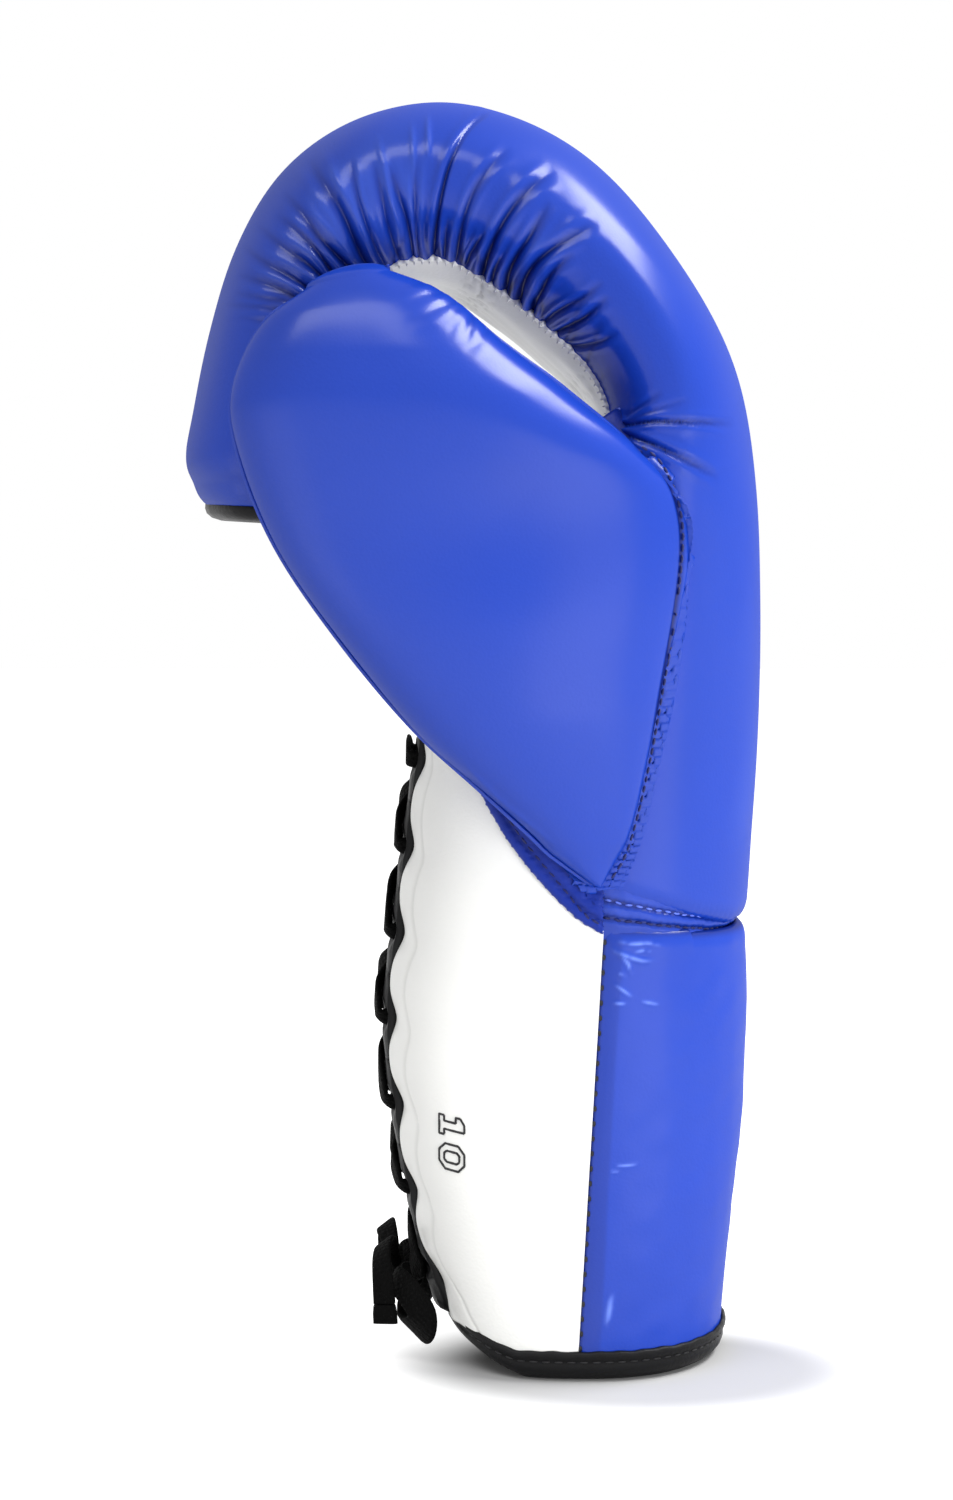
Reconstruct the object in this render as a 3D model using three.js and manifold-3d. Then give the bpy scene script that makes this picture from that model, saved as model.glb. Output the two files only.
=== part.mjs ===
// A lace-up boxing glove for the right hand, in millimetres, +Z up, standing on its hem.
// The fingers are up and curl towards -X, the back of the hand faces +X and the thumb is on the -Y side.
import * as THREE from "three";
import { mergeVertices } from "three/addons/utils/BufferGeometryUtils.js";
import Module from "manifold-3d";

const wasm = await Module();
wasm.setup();

// Overall sizes
const gloveHeight = 305;
const gloveReach = 140;
const gloveWidth = 120;

// Layers, from the outside in
const leatherThickness = 1.5;
const liningThickness = 1;
const backFoamThickness = 20;
const sideFoamThickness = 8;
const cuffFoamThickness = 4;
const layerGap = 0.3;

// Wrist: the mitt bends on the cuff about a line across the glove
const wristPivotX = 2;
const wristPivotZ = 107;
const wristBackGap = 6.5;
const wristPivotGap = 2;
const palmEdgeAngleDeg = 50;
const palmGapAngleDeg = 9;
const wristEdgeReach = 95;
const wristBackX = 36;

// Cuff and lacing
const cuffSeamTopX = -1;
const cuffSeamHemX = -7;
const hemBindingHeight = 7.5;
const hemBindingThickness = 1.2;
const slitHalfGap = 7;
const laceFacingWidth = 9;
const laceFacingThickness = 3.3;
const laceFacingProud = 0.8;
const laceFacingTop = 152;
const laceHoleRadius = 2.8;
const laceHoleInset = 4.6;
const laceRowCount = 7;
const laceRowPitch = 21;
const laceBottomRow = 21;
const laceDiameter = 3.2;
const laceClearance = 0.75;
const laceRoom = 1.5;
const laceCrossOver = -1.1;
const laceCrossUnder = 2.9;
const laceOverShare = 0.28;
const laceEdgeShare = 0.75;
const laceTipLength = 6.5;
const laceTipRadius = 2;
const laceKnotZ = 17;
const laceKnotProud = 5;
const laceKnotRadius = 4.2;
const tongueHalfWidth = 22;
const tongueThickness = 2;
const tongueGap = 0.5;

// Gussets that lap over the white cuff panels
const gussetLap = 6;
const gussetRise = 7;
const gussetRoom = 4;
const gussetGap = 0.4;
const gussetSpread = 5;
const gussetReach = 38;
const gussetEdge = 2;
const weltEdge = 1;
const foldEdge = 12;
const palmFoldTop = 186;

// Palm seam, finger end and grip
const palmSeamAngleDeg = 38;
const seamGap = 0.3;
const fingerPanelRise = 1.95;
const fingerPanelLap = 7.5;
const gripBarRadius = 4.2;
const gripBarLength = 70;
const gripBarShare = 0.66;

// Thumb
const thumbFoamThickness = 9;
const thumbWindowHalfWidth = 13;
const thumbWindowHalfHeight = 17;
const thumbSeamRadius = 7;
const strapStationShare = 0.62;
const strapWidth = 9;
const strapHeight = 8;
const strapReach = 9;

// Faces and overruns
const ringCount = 25;
const ringPoints = 20;
const thumbRingCount = 15;
const thumbRingPoints = 16;
const laceSides = 8;
const roundSides = 16;
const holeSides = 12;
const knotBands = 8;
const bisections = 30;
const sectorSteps = 6;
const shareMargin = 0.006;
const overrun = 5;
const farReach = 400;

// The glove's outer surface at each station from the hem to the finger end: the place of its back or
// knuckle side and of its palm side, as shares of reach and height, and half its width as a share of width.
const gloveStationShares = [
  [0.213, 0, -0.266, 0, 0.325],
  [0.225, 0.066, -0.307, 0.066, 0.33],
  [0.246, 0.17, -0.357, 0.17, 0.333],
  [0.259, 0.275, -0.381, 0.275, 0.342],
  [0.254, 0.339, -0.364, 0.348, 0.346],
  [0.264, 0.41, -0.339, 0.439, 0.367],
  [0.273, 0.508, -0.3, 0.534, 0.408],
  [0.277, 0.607, -0.214, 0.62, 0.458],
  [0.266, 0.695, -0.1, 0.689, 0.492],
  [0.221, 0.797, -0.018, 0.741, 0.5],
  [0.124, 0.879, -0.043, 0.775, 0.5],
  [-0.018, 0.951, -0.125, 0.811, 0.5],
  [-0.15, 0.987, -0.204, 0.839, 0.5],
  [-0.284, 1, -0.275, 0.857, 0.5],
  [-0.425, 0.987, -0.339, 0.856, 0.492],
  [-0.55, 0.946, -0.393, 0.836, 0.483],
  [-0.636, 0.885, -0.429, 0.805, 0.471],
  [-0.682, 0.82, -0.446, 0.769, 0.458],
  [-0.711, 0.757, -0.457, 0.734, 0.446],
  [-0.725, 0.715, -0.461, 0.702, 0.433],
  [-0.7, 0.692, -0.468, 0.69, 0.4],
];
const backRoundness = 2.2;
const palmRoundness = 2.8;
const handRoundness = 2.1;
const padStartShare = 0.2;
const padFullShare = 0.36;
const liningEndShare = 0.93;
const fingerEndShare = 0.02;
const foamEndShare = 0.974;

// The thumb at each station from its base to its tip: its lower and its upper edge in X and Z, then the
// depth of both edges towards -Y, and how far it swells outwards and inwards from there.
const thumbStationShares = [
  [-0.043, 0.387, 0.021, 0.39, 0.367, 0.35, 0.025, 0.025],
  [-0.107, 0.421, 0.055, 0.43, 0.417, 0.358, 0.067, 0.05],
  [-0.214, 0.468, 0.08, 0.485, 0.467, 0.367, 0.108, 0.075],
  [-0.319, 0.513, 0.104, 0.538, 0.5, 0.383, 0.142, 0.092],
  [-0.439, 0.58, 0.122, 0.61, 0.542, 0.4, 0.167, 0.108],
  [-0.543, 0.651, 0.118, 0.68, 0.558, 0.425, 0.175, 0.117],
  [-0.596, 0.711, 0.043, 0.721, 0.575, 0.5, 0.175, 0.117],
  [-0.611, 0.754, -0.086, 0.759, 0.583, 0.558, 0.167, 0.125],
  [-0.589, 0.79, -0.193, 0.793, 0.583, 0.575, 0.15, 0.125],
  [-0.55, 0.818, -0.279, 0.825, 0.583, 0.583, 0.117, 0.1],
  [-0.493, 0.837, -0.357, 0.841, 0.583, 0.583, 0.067, 0.067],
];
const thumbRoundness = 2.3;
const thumbSkinShare = 0.03;
const thumbFoamShare = 0.045;
const thumbPocketShare = 0.4;
const pocketStartShare = 0.17;
const pocketEndShare = 0.72;
const pocketRiseShare = 0.2;
const pocketShutShare = 0.36;
const windowStationShare = 0.3;
const windowRiseShare = 0.585;
const windowMiddleShare = 0.75;

// Finishes
const blueLeather = new THREE.MeshStandardMaterial({ color: 0x2f49be, roughness: 0.42, metalness: 0 });
const darkBlueLeather = new THREE.MeshStandardMaterial({ color: 0x22379a, roughness: 0.5, metalness: 0 });
const whiteLeather = new THREE.MeshStandardMaterial({ color: 0xf0f0ee, roughness: 0.5, metalness: 0 });
const blackBinding = new THREE.MeshStandardMaterial({ color: 0x161616, roughness: 0.55, metalness: 0 });
const blackLace = new THREE.MeshStandardMaterial({ color: 0x101010, roughness: 0.85, metalness: 0 });
const padding = new THREE.MeshStandardMaterial({ color: 0xd8d2c0, roughness: 0.9, metalness: 0 });
const liningCloth = new THREE.MeshStandardMaterial({ color: 0x2a2a2e, roughness: 0.9, metalness: 0 });

function solidOf(geometry) {
  const bare = geometry.clone();
  bare.deleteAttribute("normal");
  bare.deleteAttribute("uv");
  const merged = mergeVertices(bare);
  const made = new wasm.Manifold(
    new wasm.Mesh({
      numProp: 3,
      vertProperties: new Float32Array(merged.attributes.position.array),
      triVerts: new Uint32Array(merged.index.array),
    }),
  );
  return made;
}

// A closed solid through rings of points, with a fan on each end. All rings have as many points.
function loftSolid(rings) {
  const points = rings[0].length;
  const positions = rings.flat().flatMap((p) => [p.x, p.y, p.z]);
  const middles = [rings[0], rings[rings.length - 1]].map((ring) => {
    const sum = new THREE.Vector3();
    ring.forEach((p) => sum.add(p));
    return sum.divideScalar(points);
  });
  middles.forEach((p) => positions.push(p.x, p.y, p.z));
  const firstMiddle = rings.length * points;
  const index = [];
  for (let i = 0; i < rings.length - 1; i++) {
    for (let j = 0; j < points; j++) {
      const a = i * points + j;
      const b = i * points + ((j + 1) % points);
      index.push(a, b, a + points, b, b + points, a + points);
    }
  }
  for (let j = 0; j < points; j++) {
    const next = (j + 1) % points;
    const last = (rings.length - 1) * points;
    index.push(firstMiddle, next, j, firstMiddle + 1, last + j, last + next);
  }
  const build = (order) => {
    const geometry = new THREE.BufferGeometry();
    geometry.setAttribute("position", new THREE.BufferAttribute(new Float32Array(positions), 3));
    geometry.setIndex(order);
    return solidOf(geometry);
  };
  const made = build(index);
  return made.volume() > 0 ? made : build(index.slice().reverse());
}

// A prism across the glove, from an outline in X and Z.
function prismAcross(outline, fromY, toY) {
  const shape = new THREE.Shape(outline.map(([x, z]) => new THREE.Vector2(x, z)));
  const geometry = new THREE.ExtrudeGeometry(shape, { depth: toY - fromY, bevelEnabled: false });
  geometry.rotateX(Math.PI / 2);
  geometry.translate(0, toY, 0);
  return solidOf(geometry);
}

// The piece without the offcuts that a trim leaves beside it.
function largestBody(solid) {
  const bodies = solid.decompose();
  return bodies.reduce((best, body) => (body.volume() > best.volume() ? body : best));
}

function boxSolid(low, high) {
  const size = high.map((value, k) => value - low[k]);
  const geometry = new THREE.BoxGeometry(...size);
  geometry.translate(...low.map((value, k) => value + size[k] / 2));
  return solidOf(geometry);
}

function mix(a, b, share) {
  return a + (b - a) * share;
}

function rise(value, from, to) {
  const share = Math.min(1, Math.max(0, (value - from) / (to - from)));
  return share * share * (3 - 2 * share);
}

const stationCurve = (pick) => new THREE.CatmullRomCurve3(gloveStationShares.map(pick));
const backRail = stationCurve(([x, z]) => new THREE.Vector3(x * gloveReach, 0, z * gloveHeight));
const palmRail = stationCurve(([, , x, z]) => new THREE.Vector3(x * gloveReach, 0, z * gloveHeight));
const widthRail = stationCurve((row) => new THREE.Vector3(row[4] * gloveWidth, 0, 0));

const thumbCurve = (pick) => new THREE.CatmullRomCurve3(thumbStationShares.map(pick));
const lowerRail = thumbCurve(
  (row) => new THREE.Vector3(row[0] * gloveReach, -row[4] * gloveWidth, row[1] * gloveHeight),
);
const upperRail = thumbCurve(
  (row) => new THREE.Vector3(row[2] * gloveReach, -row[5] * gloveWidth, row[3] * gloveHeight),
);
const swellRail = thumbCurve((row) => new THREE.Vector3(row[6] * gloveWidth, row[7] * gloveWidth, 0));

// How far a point of a rounded section lies from its middle, for unit half axes.
function roundedRadius(angle, roundness) {
  const power = Math.abs(Math.cos(angle)) ** roundness + Math.abs(Math.sin(angle)) ** roundness;
  return power ** (-1 / roundness);
}

// A point on the glove's surface, or inside it by the given insets from the back, palm and sides. Angle 0
// is the back or knuckle side, pi the palm side, and the thumb side has a negative sine.
function glovePoint(share, angle, inset) {
  const back = backRail.getPoint(share);
  const palm = palmRail.getPoint(share);
  const across = back.clone().sub(palm);
  const depth = across.length();
  across.normalize();
  back.addScaledVector(across, -inset.back);
  palm.addScaledVector(across, inset.palm);
  const middle = back.clone().add(palm).multiplyScalar(0.5);
  const halfDepth = (depth - inset.back - inset.palm) / 2;
  const halfWidth = widthRail.getPoint(share).x - inset.side;
  const outerRoundness = Math.cos(angle) > 0 ? backRoundness : palmRoundness;
  const roundness = mix(outerRoundness, handRoundness, inset.handShare ?? 0);
  const radius = roundedRadius(angle, roundness);
  middle.addScaledVector(across, halfDepth * radius * Math.cos(angle));
  middle.y += halfWidth * radius * Math.sin(angle);
  return middle;
}

const evenInset = (depth) => () => ({ back: depth, palm: depth, side: depth });

// Every layer has its rings at the same places along the glove, so that layers can't cross.
function sharesAlong(count, startShare, endShare) {
  const shares = [startShare];
  for (let i = 0; i < count; i++) {
    const share = i / (count - 1);
    if (share > startShare + shareMargin && share < endShare - shareMargin) shares.push(share);
  }
  return [...shares, endShare];
}

function gloveRings(insetAt, endShare = 1) {
  return sharesAlong(ringCount, 0, endShare).map((share) => {
    const ring = [];
    for (let j = 0; j < ringPoints; j++) {
      ring.push(glovePoint(share, (j * 2 * Math.PI) / ringPoints, insetAt(share)));
    }
    return ring;
  });
}

const gloveSolid = (insetAt, endShare) => loftSolid(gloveRings(insetAt, endShare));

// What lies within an angle of the palm side, as a wedge of the glove's loft that passes its surface.
function palmSector(halfAngle) {
  const outside = evenInset(-overrun)();
  const rings = sharesAlong(ringCount, 0, 1).map((share) => {
    const wedge = [backRail.getPoint(share).lerp(palmRail.getPoint(share), 0.5)];
    for (let k = -sectorSteps; k <= sectorSteps; k++) {
      wedge.push(glovePoint(share, Math.PI + (halfAngle * k) / sectorSteps, outside));
    }
    return wedge;
  });
  return loftSolid(rings);
}

// The space for the hand: how far its lining lies inside the glove's surface.
function liningInset(extra, palmDepth) {
  const skin = leatherThickness + layerGap;
  return (share) => {
    const padded = rise(share, padStartShare, padFullShare);
    return {
      back: skin + mix(cuffFoamThickness, backFoamThickness, padded) + layerGap + extra,
      side: skin + mix(cuffFoamThickness, sideFoamThickness, padded) + layerGap + extra,
      palm: palmDepth ?? skin + mix(cuffFoamThickness, 0, padded) + layerGap + extra,
      handShare: padded,
    };
  };
}

// Edge of the wrist in X and Z: level at the back, then rising over the palm at an angle from the pivot.
function wristEdge(backZ, pivotZ, angleDeg, shift) {
  const rad = THREE.MathUtils.degToRad(angleDeg);
  const left = wristPivotX - wristEdgeReach * Math.cos(rad);
  const top = pivotZ + wristEdgeReach * Math.sin(rad);
  const across = [-shift * Math.sin(rad), -shift * Math.cos(rad)];
  return [
    [farReach, backZ - shift],
    [wristBackX, backZ - shift],
    [wristPivotX + across[0], pivotZ + across[1]],
    [left + across[0], top + across[1]],
    [-farReach, top + across[1]],
  ];
}

const cuffEdge = (shift) =>
  wristEdge(wristPivotZ - wristBackGap, wristPivotZ - wristPivotGap / 2, palmEdgeAngleDeg, shift);
const mittEdge = (shift) =>
  wristEdge(wristPivotZ, wristPivotZ + wristPivotGap / 2, palmEdgeAngleDeg + palmGapAngleDeg, shift);
const belowEdge = (edge) =>
  prismAcross([...edge, [-farReach, -farReach], [farReach, -farReach]], -farReach, farReach);
function aboveEdge(edge) {
  const corners = [[farReach, 2 * farReach], [-farReach, 2 * farReach]];
  return prismAcross([...edge.slice().reverse(), ...corners], -farReach, farReach);
}

const cuffRegion = belowEdge(cuffEdge(0));
const mittRegion = aboveEdge(mittEdge(0));

const outerSolid = gloveSolid(evenInset(0));
const skinInside = gloveSolid(evenInset(leatherThickness), 1 - fingerEndShare);
const skin = outerSolid.subtract(skinInside);
// The way from the hand's space into the thumb, from outside the glove to short of its middle
const thumbWindow = (() => {
  const at = lowerRail.getPoint(windowStationShare);
  at.lerp(upperRail.getPoint(windowStationShare), windowRiseShare);
  const geometry = new THREE.CylinderGeometry(1, 1, gloveWidth, ringPoints);
  geometry.scale(thumbWindowHalfWidth, 1, thumbWindowHalfHeight);
  geometry.translate(at.x, -windowMiddleShare * gloveWidth, at.z);
  return solidOf(geometry);
})();

const pieces = new THREE.Group();
function addPiece(name, solid, material) {
  const mesh = solid.getMesh();
  const geometry = new THREE.BufferGeometry();
  geometry.setAttribute("position", new THREE.BufferAttribute(mesh.vertProperties, 3));
  geometry.setIndex(new THREE.BufferAttribute(mesh.triVerts, 1));
  const piece = new THREE.Mesh(geometry, material);
  piece.name = name;
  pieces.add(piece);
  return piece;
}

// Mitt: leather shell, palm, finger end, padding, lining and grip
const palmSeamAngle = THREE.MathUtils.degToRad(palmSeamAngleDeg);
const palmSeamStep = seamGap / (gloveWidth / 2);
const fingerEndZone = (lift) =>
  boxSolid(
    [-farReach, -farReach, 0],
    [palmRail.getPoint(1).x + fingerPanelLap, farReach, backRail.getPoint(1).z + fingerPanelRise + lift],
  );
addPiece(
  "main_face_leather",
  skin
    .intersect(mittRegion)
    .subtract(palmSector(palmSeamAngle + palmSeamStep))
    .subtract(fingerEndZone(seamGap))
    .subtract(thumbWindow),
  blueLeather,
);
addPiece(
  "palm_leather",
  skin.intersect(mittRegion).intersect(palmSector(palmSeamAngle)).subtract(fingerEndZone(seamGap)),
  whiteLeather,
);
addPiece("finger_end_panel", skin.intersect(fingerEndZone(0)), blackBinding);

const handSpace = gloveSolid(liningInset(0), liningEndShare);
const handSpaceInside = gloveSolid(liningInset(liningThickness), liningEndShare - fingerEndShare / 2);
const liningShell = handSpace.subtract(handSpaceInside);
const foamCore = gloveSolid(liningInset(-layerGap, 0), liningEndShare + fingerEndShare / 4);
addPiece(
  "fist_foam",
  gloveSolid(evenInset(leatherThickness + layerGap), foamEndShare)
    .intersect(mittRegion)
    .subtract(foamCore)
    .subtract(gloveSolid(liningInset(-layerGap), liningEndShare + fingerEndShare / 4))
    .subtract(thumbWindow),
  padding,
);
addPiece("hand_lining", liningShell.intersect(mittRegion).subtract(thumbWindow), liningCloth);
const gripBar = new THREE.CylinderGeometry(gripBarRadius, gripBarRadius, gripBarLength, roundSides);
const gripStation = palmRail.getPoint(gripBarShare);
const gripAcross = backRail.getPoint(gripBarShare).sub(gripStation).normalize();
const gripDepth = leatherThickness + liningThickness + 2 * layerGap + gripBarRadius;
gripStation.addScaledVector(gripAcross, gripDepth);
gripBar.translate(gripStation.x, 0, gripStation.z);
const gripRoom = gloveSolid(liningInset(liningThickness + layerGap), liningEndShare - fingerEndShare);
addPiece("grip_bar", solidOf(gripBar).intersect(gripRoom), padding);

// Thumb: a loft from its base at the wrist to its tip, cut where it meets the mitt

// A point on the thumb, or inside it. Angle 0 is the upper edge, pi the lower, and a positive sine faces out.
function thumbPoint(share, angle, inset) {
  const lower = lowerRail.getPoint(share);
  const upper = upperRail.getPoint(share);
  const middle = lower.clone().add(upper).multiplyScalar(0.5);
  const along = upper.clone().sub(lower);
  const halfLength = (along.length() / 2) * (inset.keptShare ?? 1) - inset.edge;
  along.normalize();
  const outwards = new THREE.Vector3(0, -1, 0).addScaledVector(along, along.y).normalize();
  const swell = swellRail.getPoint(share);
  const radius = roundedRadius(angle, thumbRoundness);
  const depth = Math.sin(angle) > 0 ? swell.x - inset.out : swell.y - inset.in;
  middle.addScaledVector(along, halfLength * radius * Math.cos(angle));
  middle.addScaledVector(outwards, depth * radius * Math.sin(angle));
  return middle;
}

function thumbSolid(insetAt, startShare, endShare) {
  const rings = sharesAlong(thumbRingCount, startShare, endShare).map((share) => {
    const ring = [];
    for (let j = 0; j < thumbRingPoints; j++) {
      ring.push(thumbPoint(share, (j * 2 * Math.PI) / thumbRingPoints, insetAt(share)));
    }
    return ring;
  });
  return loftSolid(rings);
}

const thumbInset = (depth) => () => ({ edge: depth, out: depth, in: depth });
function thumbHalf(startAngle, endAngle) {
  const outside = thumbInset(-overrun)();
  const rings = sharesAlong(thumbRingCount, 0, 1).map((share) => {
    const wedge = [lowerRail.getPoint(share).lerp(upperRail.getPoint(share), 0.5)];
    for (let k = 0; k <= 2 * sectorSteps; k++) {
      wedge.push(thumbPoint(share, mix(startAngle, endAngle, k / (2 * sectorSteps)), outside));
    }
    return wedge;
  });
  const first = rings[0];
  const last = rings[rings.length - 1];
  const before = first.map((p) => p.clone().lerp(rings[1][0], -1));
  const after = last.map((p) => p.clone().lerp(rings[rings.length - 2][0], -1));
  return loftSolid([before, ...rings, after]);
}
// The pocket for the thumb opens into the mitt near the base and closes in the thumb's padding.
function pocketInset(extra) {
  const shut = leatherThickness + thumbFoamThickness / 2;
  return (share) => ({
    keptShare: thumbPocketShare,
    edge: extra,
    out: leatherThickness + thumbFoamThickness + extra,
    in: mix(-overrun, shut, rise(share, pocketRiseShare, pocketShutShare)) + extra,
  });
}

// The gusset stands further off towards the palm, where it slides over the cuff as the wrist bends.
const gussetInset = (height) => () => ({ back: -height, side: -height, palm: -height - gussetSpread });
const gussetHeight = gussetGap + leatherThickness;
function gussetBand(room) {
  const lower = aboveEdge(cuffEdge(gussetLap + room));
  return lower.subtract(aboveEdge(mittEdge(-gussetRise - room)));
}
const gussetZone = gussetBand(0);
const mittHull = gloveSolid(evenInset(-layerGap)).add(
  gloveSolid(gussetInset(gussetHeight + layerGap)).intersect(gussetBand(gussetRoom)),
);
const thumbBody = thumbSolid(thumbInset(0), 0, 1);
const thumbBodyInside = thumbSolid(thumbInset(leatherThickness), thumbSkinShare, 1 - thumbSkinShare);
const thumbSkin = thumbBody.subtract(thumbBodyInside).subtract(mittHull);
const thumbSeamStep = seamGap / thumbSeamRadius;
const pocketSolid = (extra, longer) =>
  thumbSolid(pocketInset(extra), pocketStartShare, pocketEndShare + longer);
const pocket = pocketSolid(0, 0);
const pocketInside = pocketSolid(liningThickness, -thumbSkinShare / 2);
const pocketOutside = pocketSolid(-layerGap, thumbSkinShare / 2);
const outerHalf = thumbHalf(0, Math.PI);
const innerHalf = thumbHalf(Math.PI + thumbSeamStep, 2 * Math.PI - thumbSeamStep);
addPiece("thumb_outer_leather", thumbSkin.intersect(outerHalf), blueLeather);
addPiece(
  "thumb_inner_leather",
  largestBody(thumbSkin.intersect(innerHalf).subtract(pocketOutside)),
  blueLeather,
);
addPiece(
  "thumb_foam",
  thumbSolid(thumbInset(leatherThickness + layerGap), thumbFoamShare, 1 - thumbFoamShare)
    .subtract(pocketOutside)
    .subtract(mittHull),
  padding,
);
addPiece("thumb_lining", largestBody(pocket.subtract(pocketInside).subtract(mittHull)), liningCloth);

// The web that ties the thumb's upper edge to the fist
const strapAt = upperRail.getPoint(strapStationShare);
const strapBlock = (() => {
  const geometry = new THREE.CylinderGeometry(1, 1, 2 * strapReach, roundSides);
  geometry.scale(strapWidth / 2, 1, strapHeight);
  geometry.translate(strapAt.x, -gloveWidth / 2, strapAt.z);
  return solidOf(geometry);
})();
const strapTrim = thumbSolid(thumbInset(-layerGap), 0, 1).add(gloveSolid(evenInset(-layerGap)));
addPiece("thumb_strap", largestBody(strapBlock.subtract(strapTrim)), darkBlueLeather);

// Wrist: gussets that lap over the cuff, the welt at the back and the fold at the palm
const halfSpace = (side) =>
  side < 0
    ? boxSolid([-farReach, -farReach, -farReach], [farReach, -laceFacingWidth, farReach])
    : boxSolid([-farReach, laceFacingWidth, -farReach], [farReach, farReach, farReach]);
const gussetReachBox = boxSolid(
  [-gussetReach, -farReach, -farReach],
  [wristPivotX - gussetEdge, farReach, farReach],
);
const gussetSkin = gloveSolid(gussetInset(gussetHeight))
  .subtract(gloveSolid(gussetInset(gussetGap)))
  .intersect(gussetZone)
  .intersect(gussetReachBox);
addPiece("thumb_gusset", gussetSkin.intersect(halfSpace(-1)), darkBlueLeather);
addPiece("finger_gusset", gussetSkin.intersect(halfSpace(1)), darkBlueLeather);
const wristWedge = aboveEdge(cuffEdge(-layerGap)).subtract(aboveEdge(mittEdge(layerGap)));
const bandSkin = skin.intersect(wristWedge);
addPiece(
  "wrist_welt",
  bandSkin.intersect(boxSolid([wristPivotX + weltEdge, -farReach, 0], [farReach, farReach, gloveHeight])),
  blueLeather,
);
addPiece(
  "palm_fold",
  bandSkin.intersect(boxSolid([-farReach, -farReach, 0], [wristPivotX - foldEdge, farReach, palmFoldTop])),
  whiteLeather,
);

// Cuff panels, padding and lining
const cuffAboveHem = cuffRegion.intersect(
  boxSolid([-farReach, -farReach, hemBindingThickness + layerGap], [farReach, farReach, farReach]),
);
const seamOutline = (shift) => [
  [cuffSeamHemX + shift, 0],
  [farReach, 0],
  [farReach, gloveHeight],
  [cuffSeamTopX + shift, gloveHeight],
  [cuffSeamTopX + shift, wristPivotZ],
];
const backOfSeam = (shift) => prismAcross(seamOutline(shift), -farReach, farReach);
function slitZone(halfWidth) {
  return boxSolid([-farReach, -halfWidth, -overrun], [cuffSeamHemX, halfWidth, gloveHeight]);
}
const facingEdge = slitHalfGap + laceFacingWidth + layerGap;
const sideOf = (solid, side, slitHalf, shift) =>
  solid.subtract(backOfSeam(-shift)).subtract(slitZone(slitHalf)).intersect(halfSpace(side));
const cuffSkin = skin.intersect(cuffAboveHem);
addPiece("cuff_back_panel", cuffSkin.intersect(backOfSeam(0)), blueLeather);
addPiece("cuff_side_panel_thumb", sideOf(cuffSkin, -1, facingEdge, seamGap), whiteLeather);
addPiece("cuff_side_panel_finger", sideOf(cuffSkin, 1, facingEdge, seamGap), whiteLeather);
const cuffPad = gloveSolid(evenInset(leatherThickness + layerGap)).subtract(
  gloveSolid(liningInset(-layerGap), liningEndShare),
);
const cuffFoam = cuffPad.intersect(cuffAboveHem);
addPiece("cuff_back_foam", cuffFoam.intersect(backOfSeam(0)), padding);
addPiece("cuff_side_foam_thumb", sideOf(cuffFoam, -1, facingEdge + laceRoom, seamGap), padding);
addPiece("cuff_side_foam_finger", sideOf(cuffFoam, 1, facingEdge + laceRoom, seamGap), padding);
addPiece(
  "cuff_lining",
  liningShell.intersect(cuffAboveHem).subtract(slitZone(facingEdge + laceRoom)),
  liningCloth,
);
const wallDepth = leatherThickness + cuffFoamThickness + liningThickness + 2 * layerGap;
const hemSlot = gloveSolid(evenInset(-layerGap))
  .subtract(gloveSolid(evenInset(wallDepth + layerGap)))
  .intersect(boxSolid([-farReach, -farReach, hemBindingThickness], [farReach, farReach, farReach]));
addPiece(
  "hem_binding",
  gloveSolid(evenInset(-hemBindingThickness - layerGap))
    .subtract(gloveSolid(evenInset(wallDepth + layerGap + hemBindingThickness)))
    .intersect(boxSolid([-farReach, -farReach, 0], [farReach, farReach, hemBindingHeight]))
    .subtract(hemSlot)
    .subtract(slitZone(slitHalfGap)),
  blackBinding,
);

// Lacing: two edges with holes, a tongue behind them, the crossed lace, its knot, loops and tails
// A point on the palm side of the cuff at a place across and up, so far below the leather's surface.
function cuffPoint(y, z, depth) {
  let low = 0;
  let high = 0.5;
  for (let step = 0; step < bisections; step++) {
    const middle = (low + high) / 2;
    if (palmRail.getPoint(middle).z < z) low = middle;
    else high = middle;
  }
  const palm = palmRail.getPoint(low);
  const back = backRail.getPoint(low);
  const halfDepth = back.distanceTo(palm) / 2;
  const share = Math.abs(y) / widthRail.getPoint(low).x;
  const bend = halfDepth * (1 - (1 - share ** palmRoundness) ** (1 / palmRoundness));
  return new THREE.Vector3(palm.x + bend + depth, y, z);
}

const laceHoleY = slitHalfGap + laceHoleInset;
const rows = Array.from({ length: laceRowCount }, (_, i) => laceBottomRow + i * laceRowPitch);
function laceFacing(side) {
  const low = side < 0 ? -slitHalfGap - laceFacingWidth : slitHalfGap;
  const bottom = [-farReach, low, hemBindingHeight + layerGap];
  const top = [cuffSeamHemX, low + laceFacingWidth, laceFacingTop];
  let strip = gloveSolid(evenInset(-laceFacingProud))
    .subtract(gloveSolid(evenInset(laceFacingThickness - laceFacingProud)))
    .intersect(cuffRegion)
    .intersect(boxSolid(bottom, top));
  const through = 4 * laceFacingThickness;
  for (const z of rows) {
    const hole = new THREE.CylinderGeometry(laceHoleRadius, laceHoleRadius, through, holeSides);
    hole.rotateZ(Math.PI / 2);
    const at = cuffPoint(side * laceHoleY, z, laceFacingThickness / 2 - laceFacingProud);
    hole.translate(at.x, at.y, at.z);
    strip = strip.subtract(solidOf(hole));
  }
  return strip;
}
addPiece("lace_facing_thumb", laceFacing(-1), blackBinding);
addPiece("lace_facing_finger", laceFacing(1), blackBinding);
const tongueDepth = wallDepth + tongueGap;
const tongueBottom = [-farReach, -tongueHalfWidth, hemBindingHeight + tongueGap];
const tongueTop = [cuffSeamHemX, tongueHalfWidth, gloveHeight];
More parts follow.
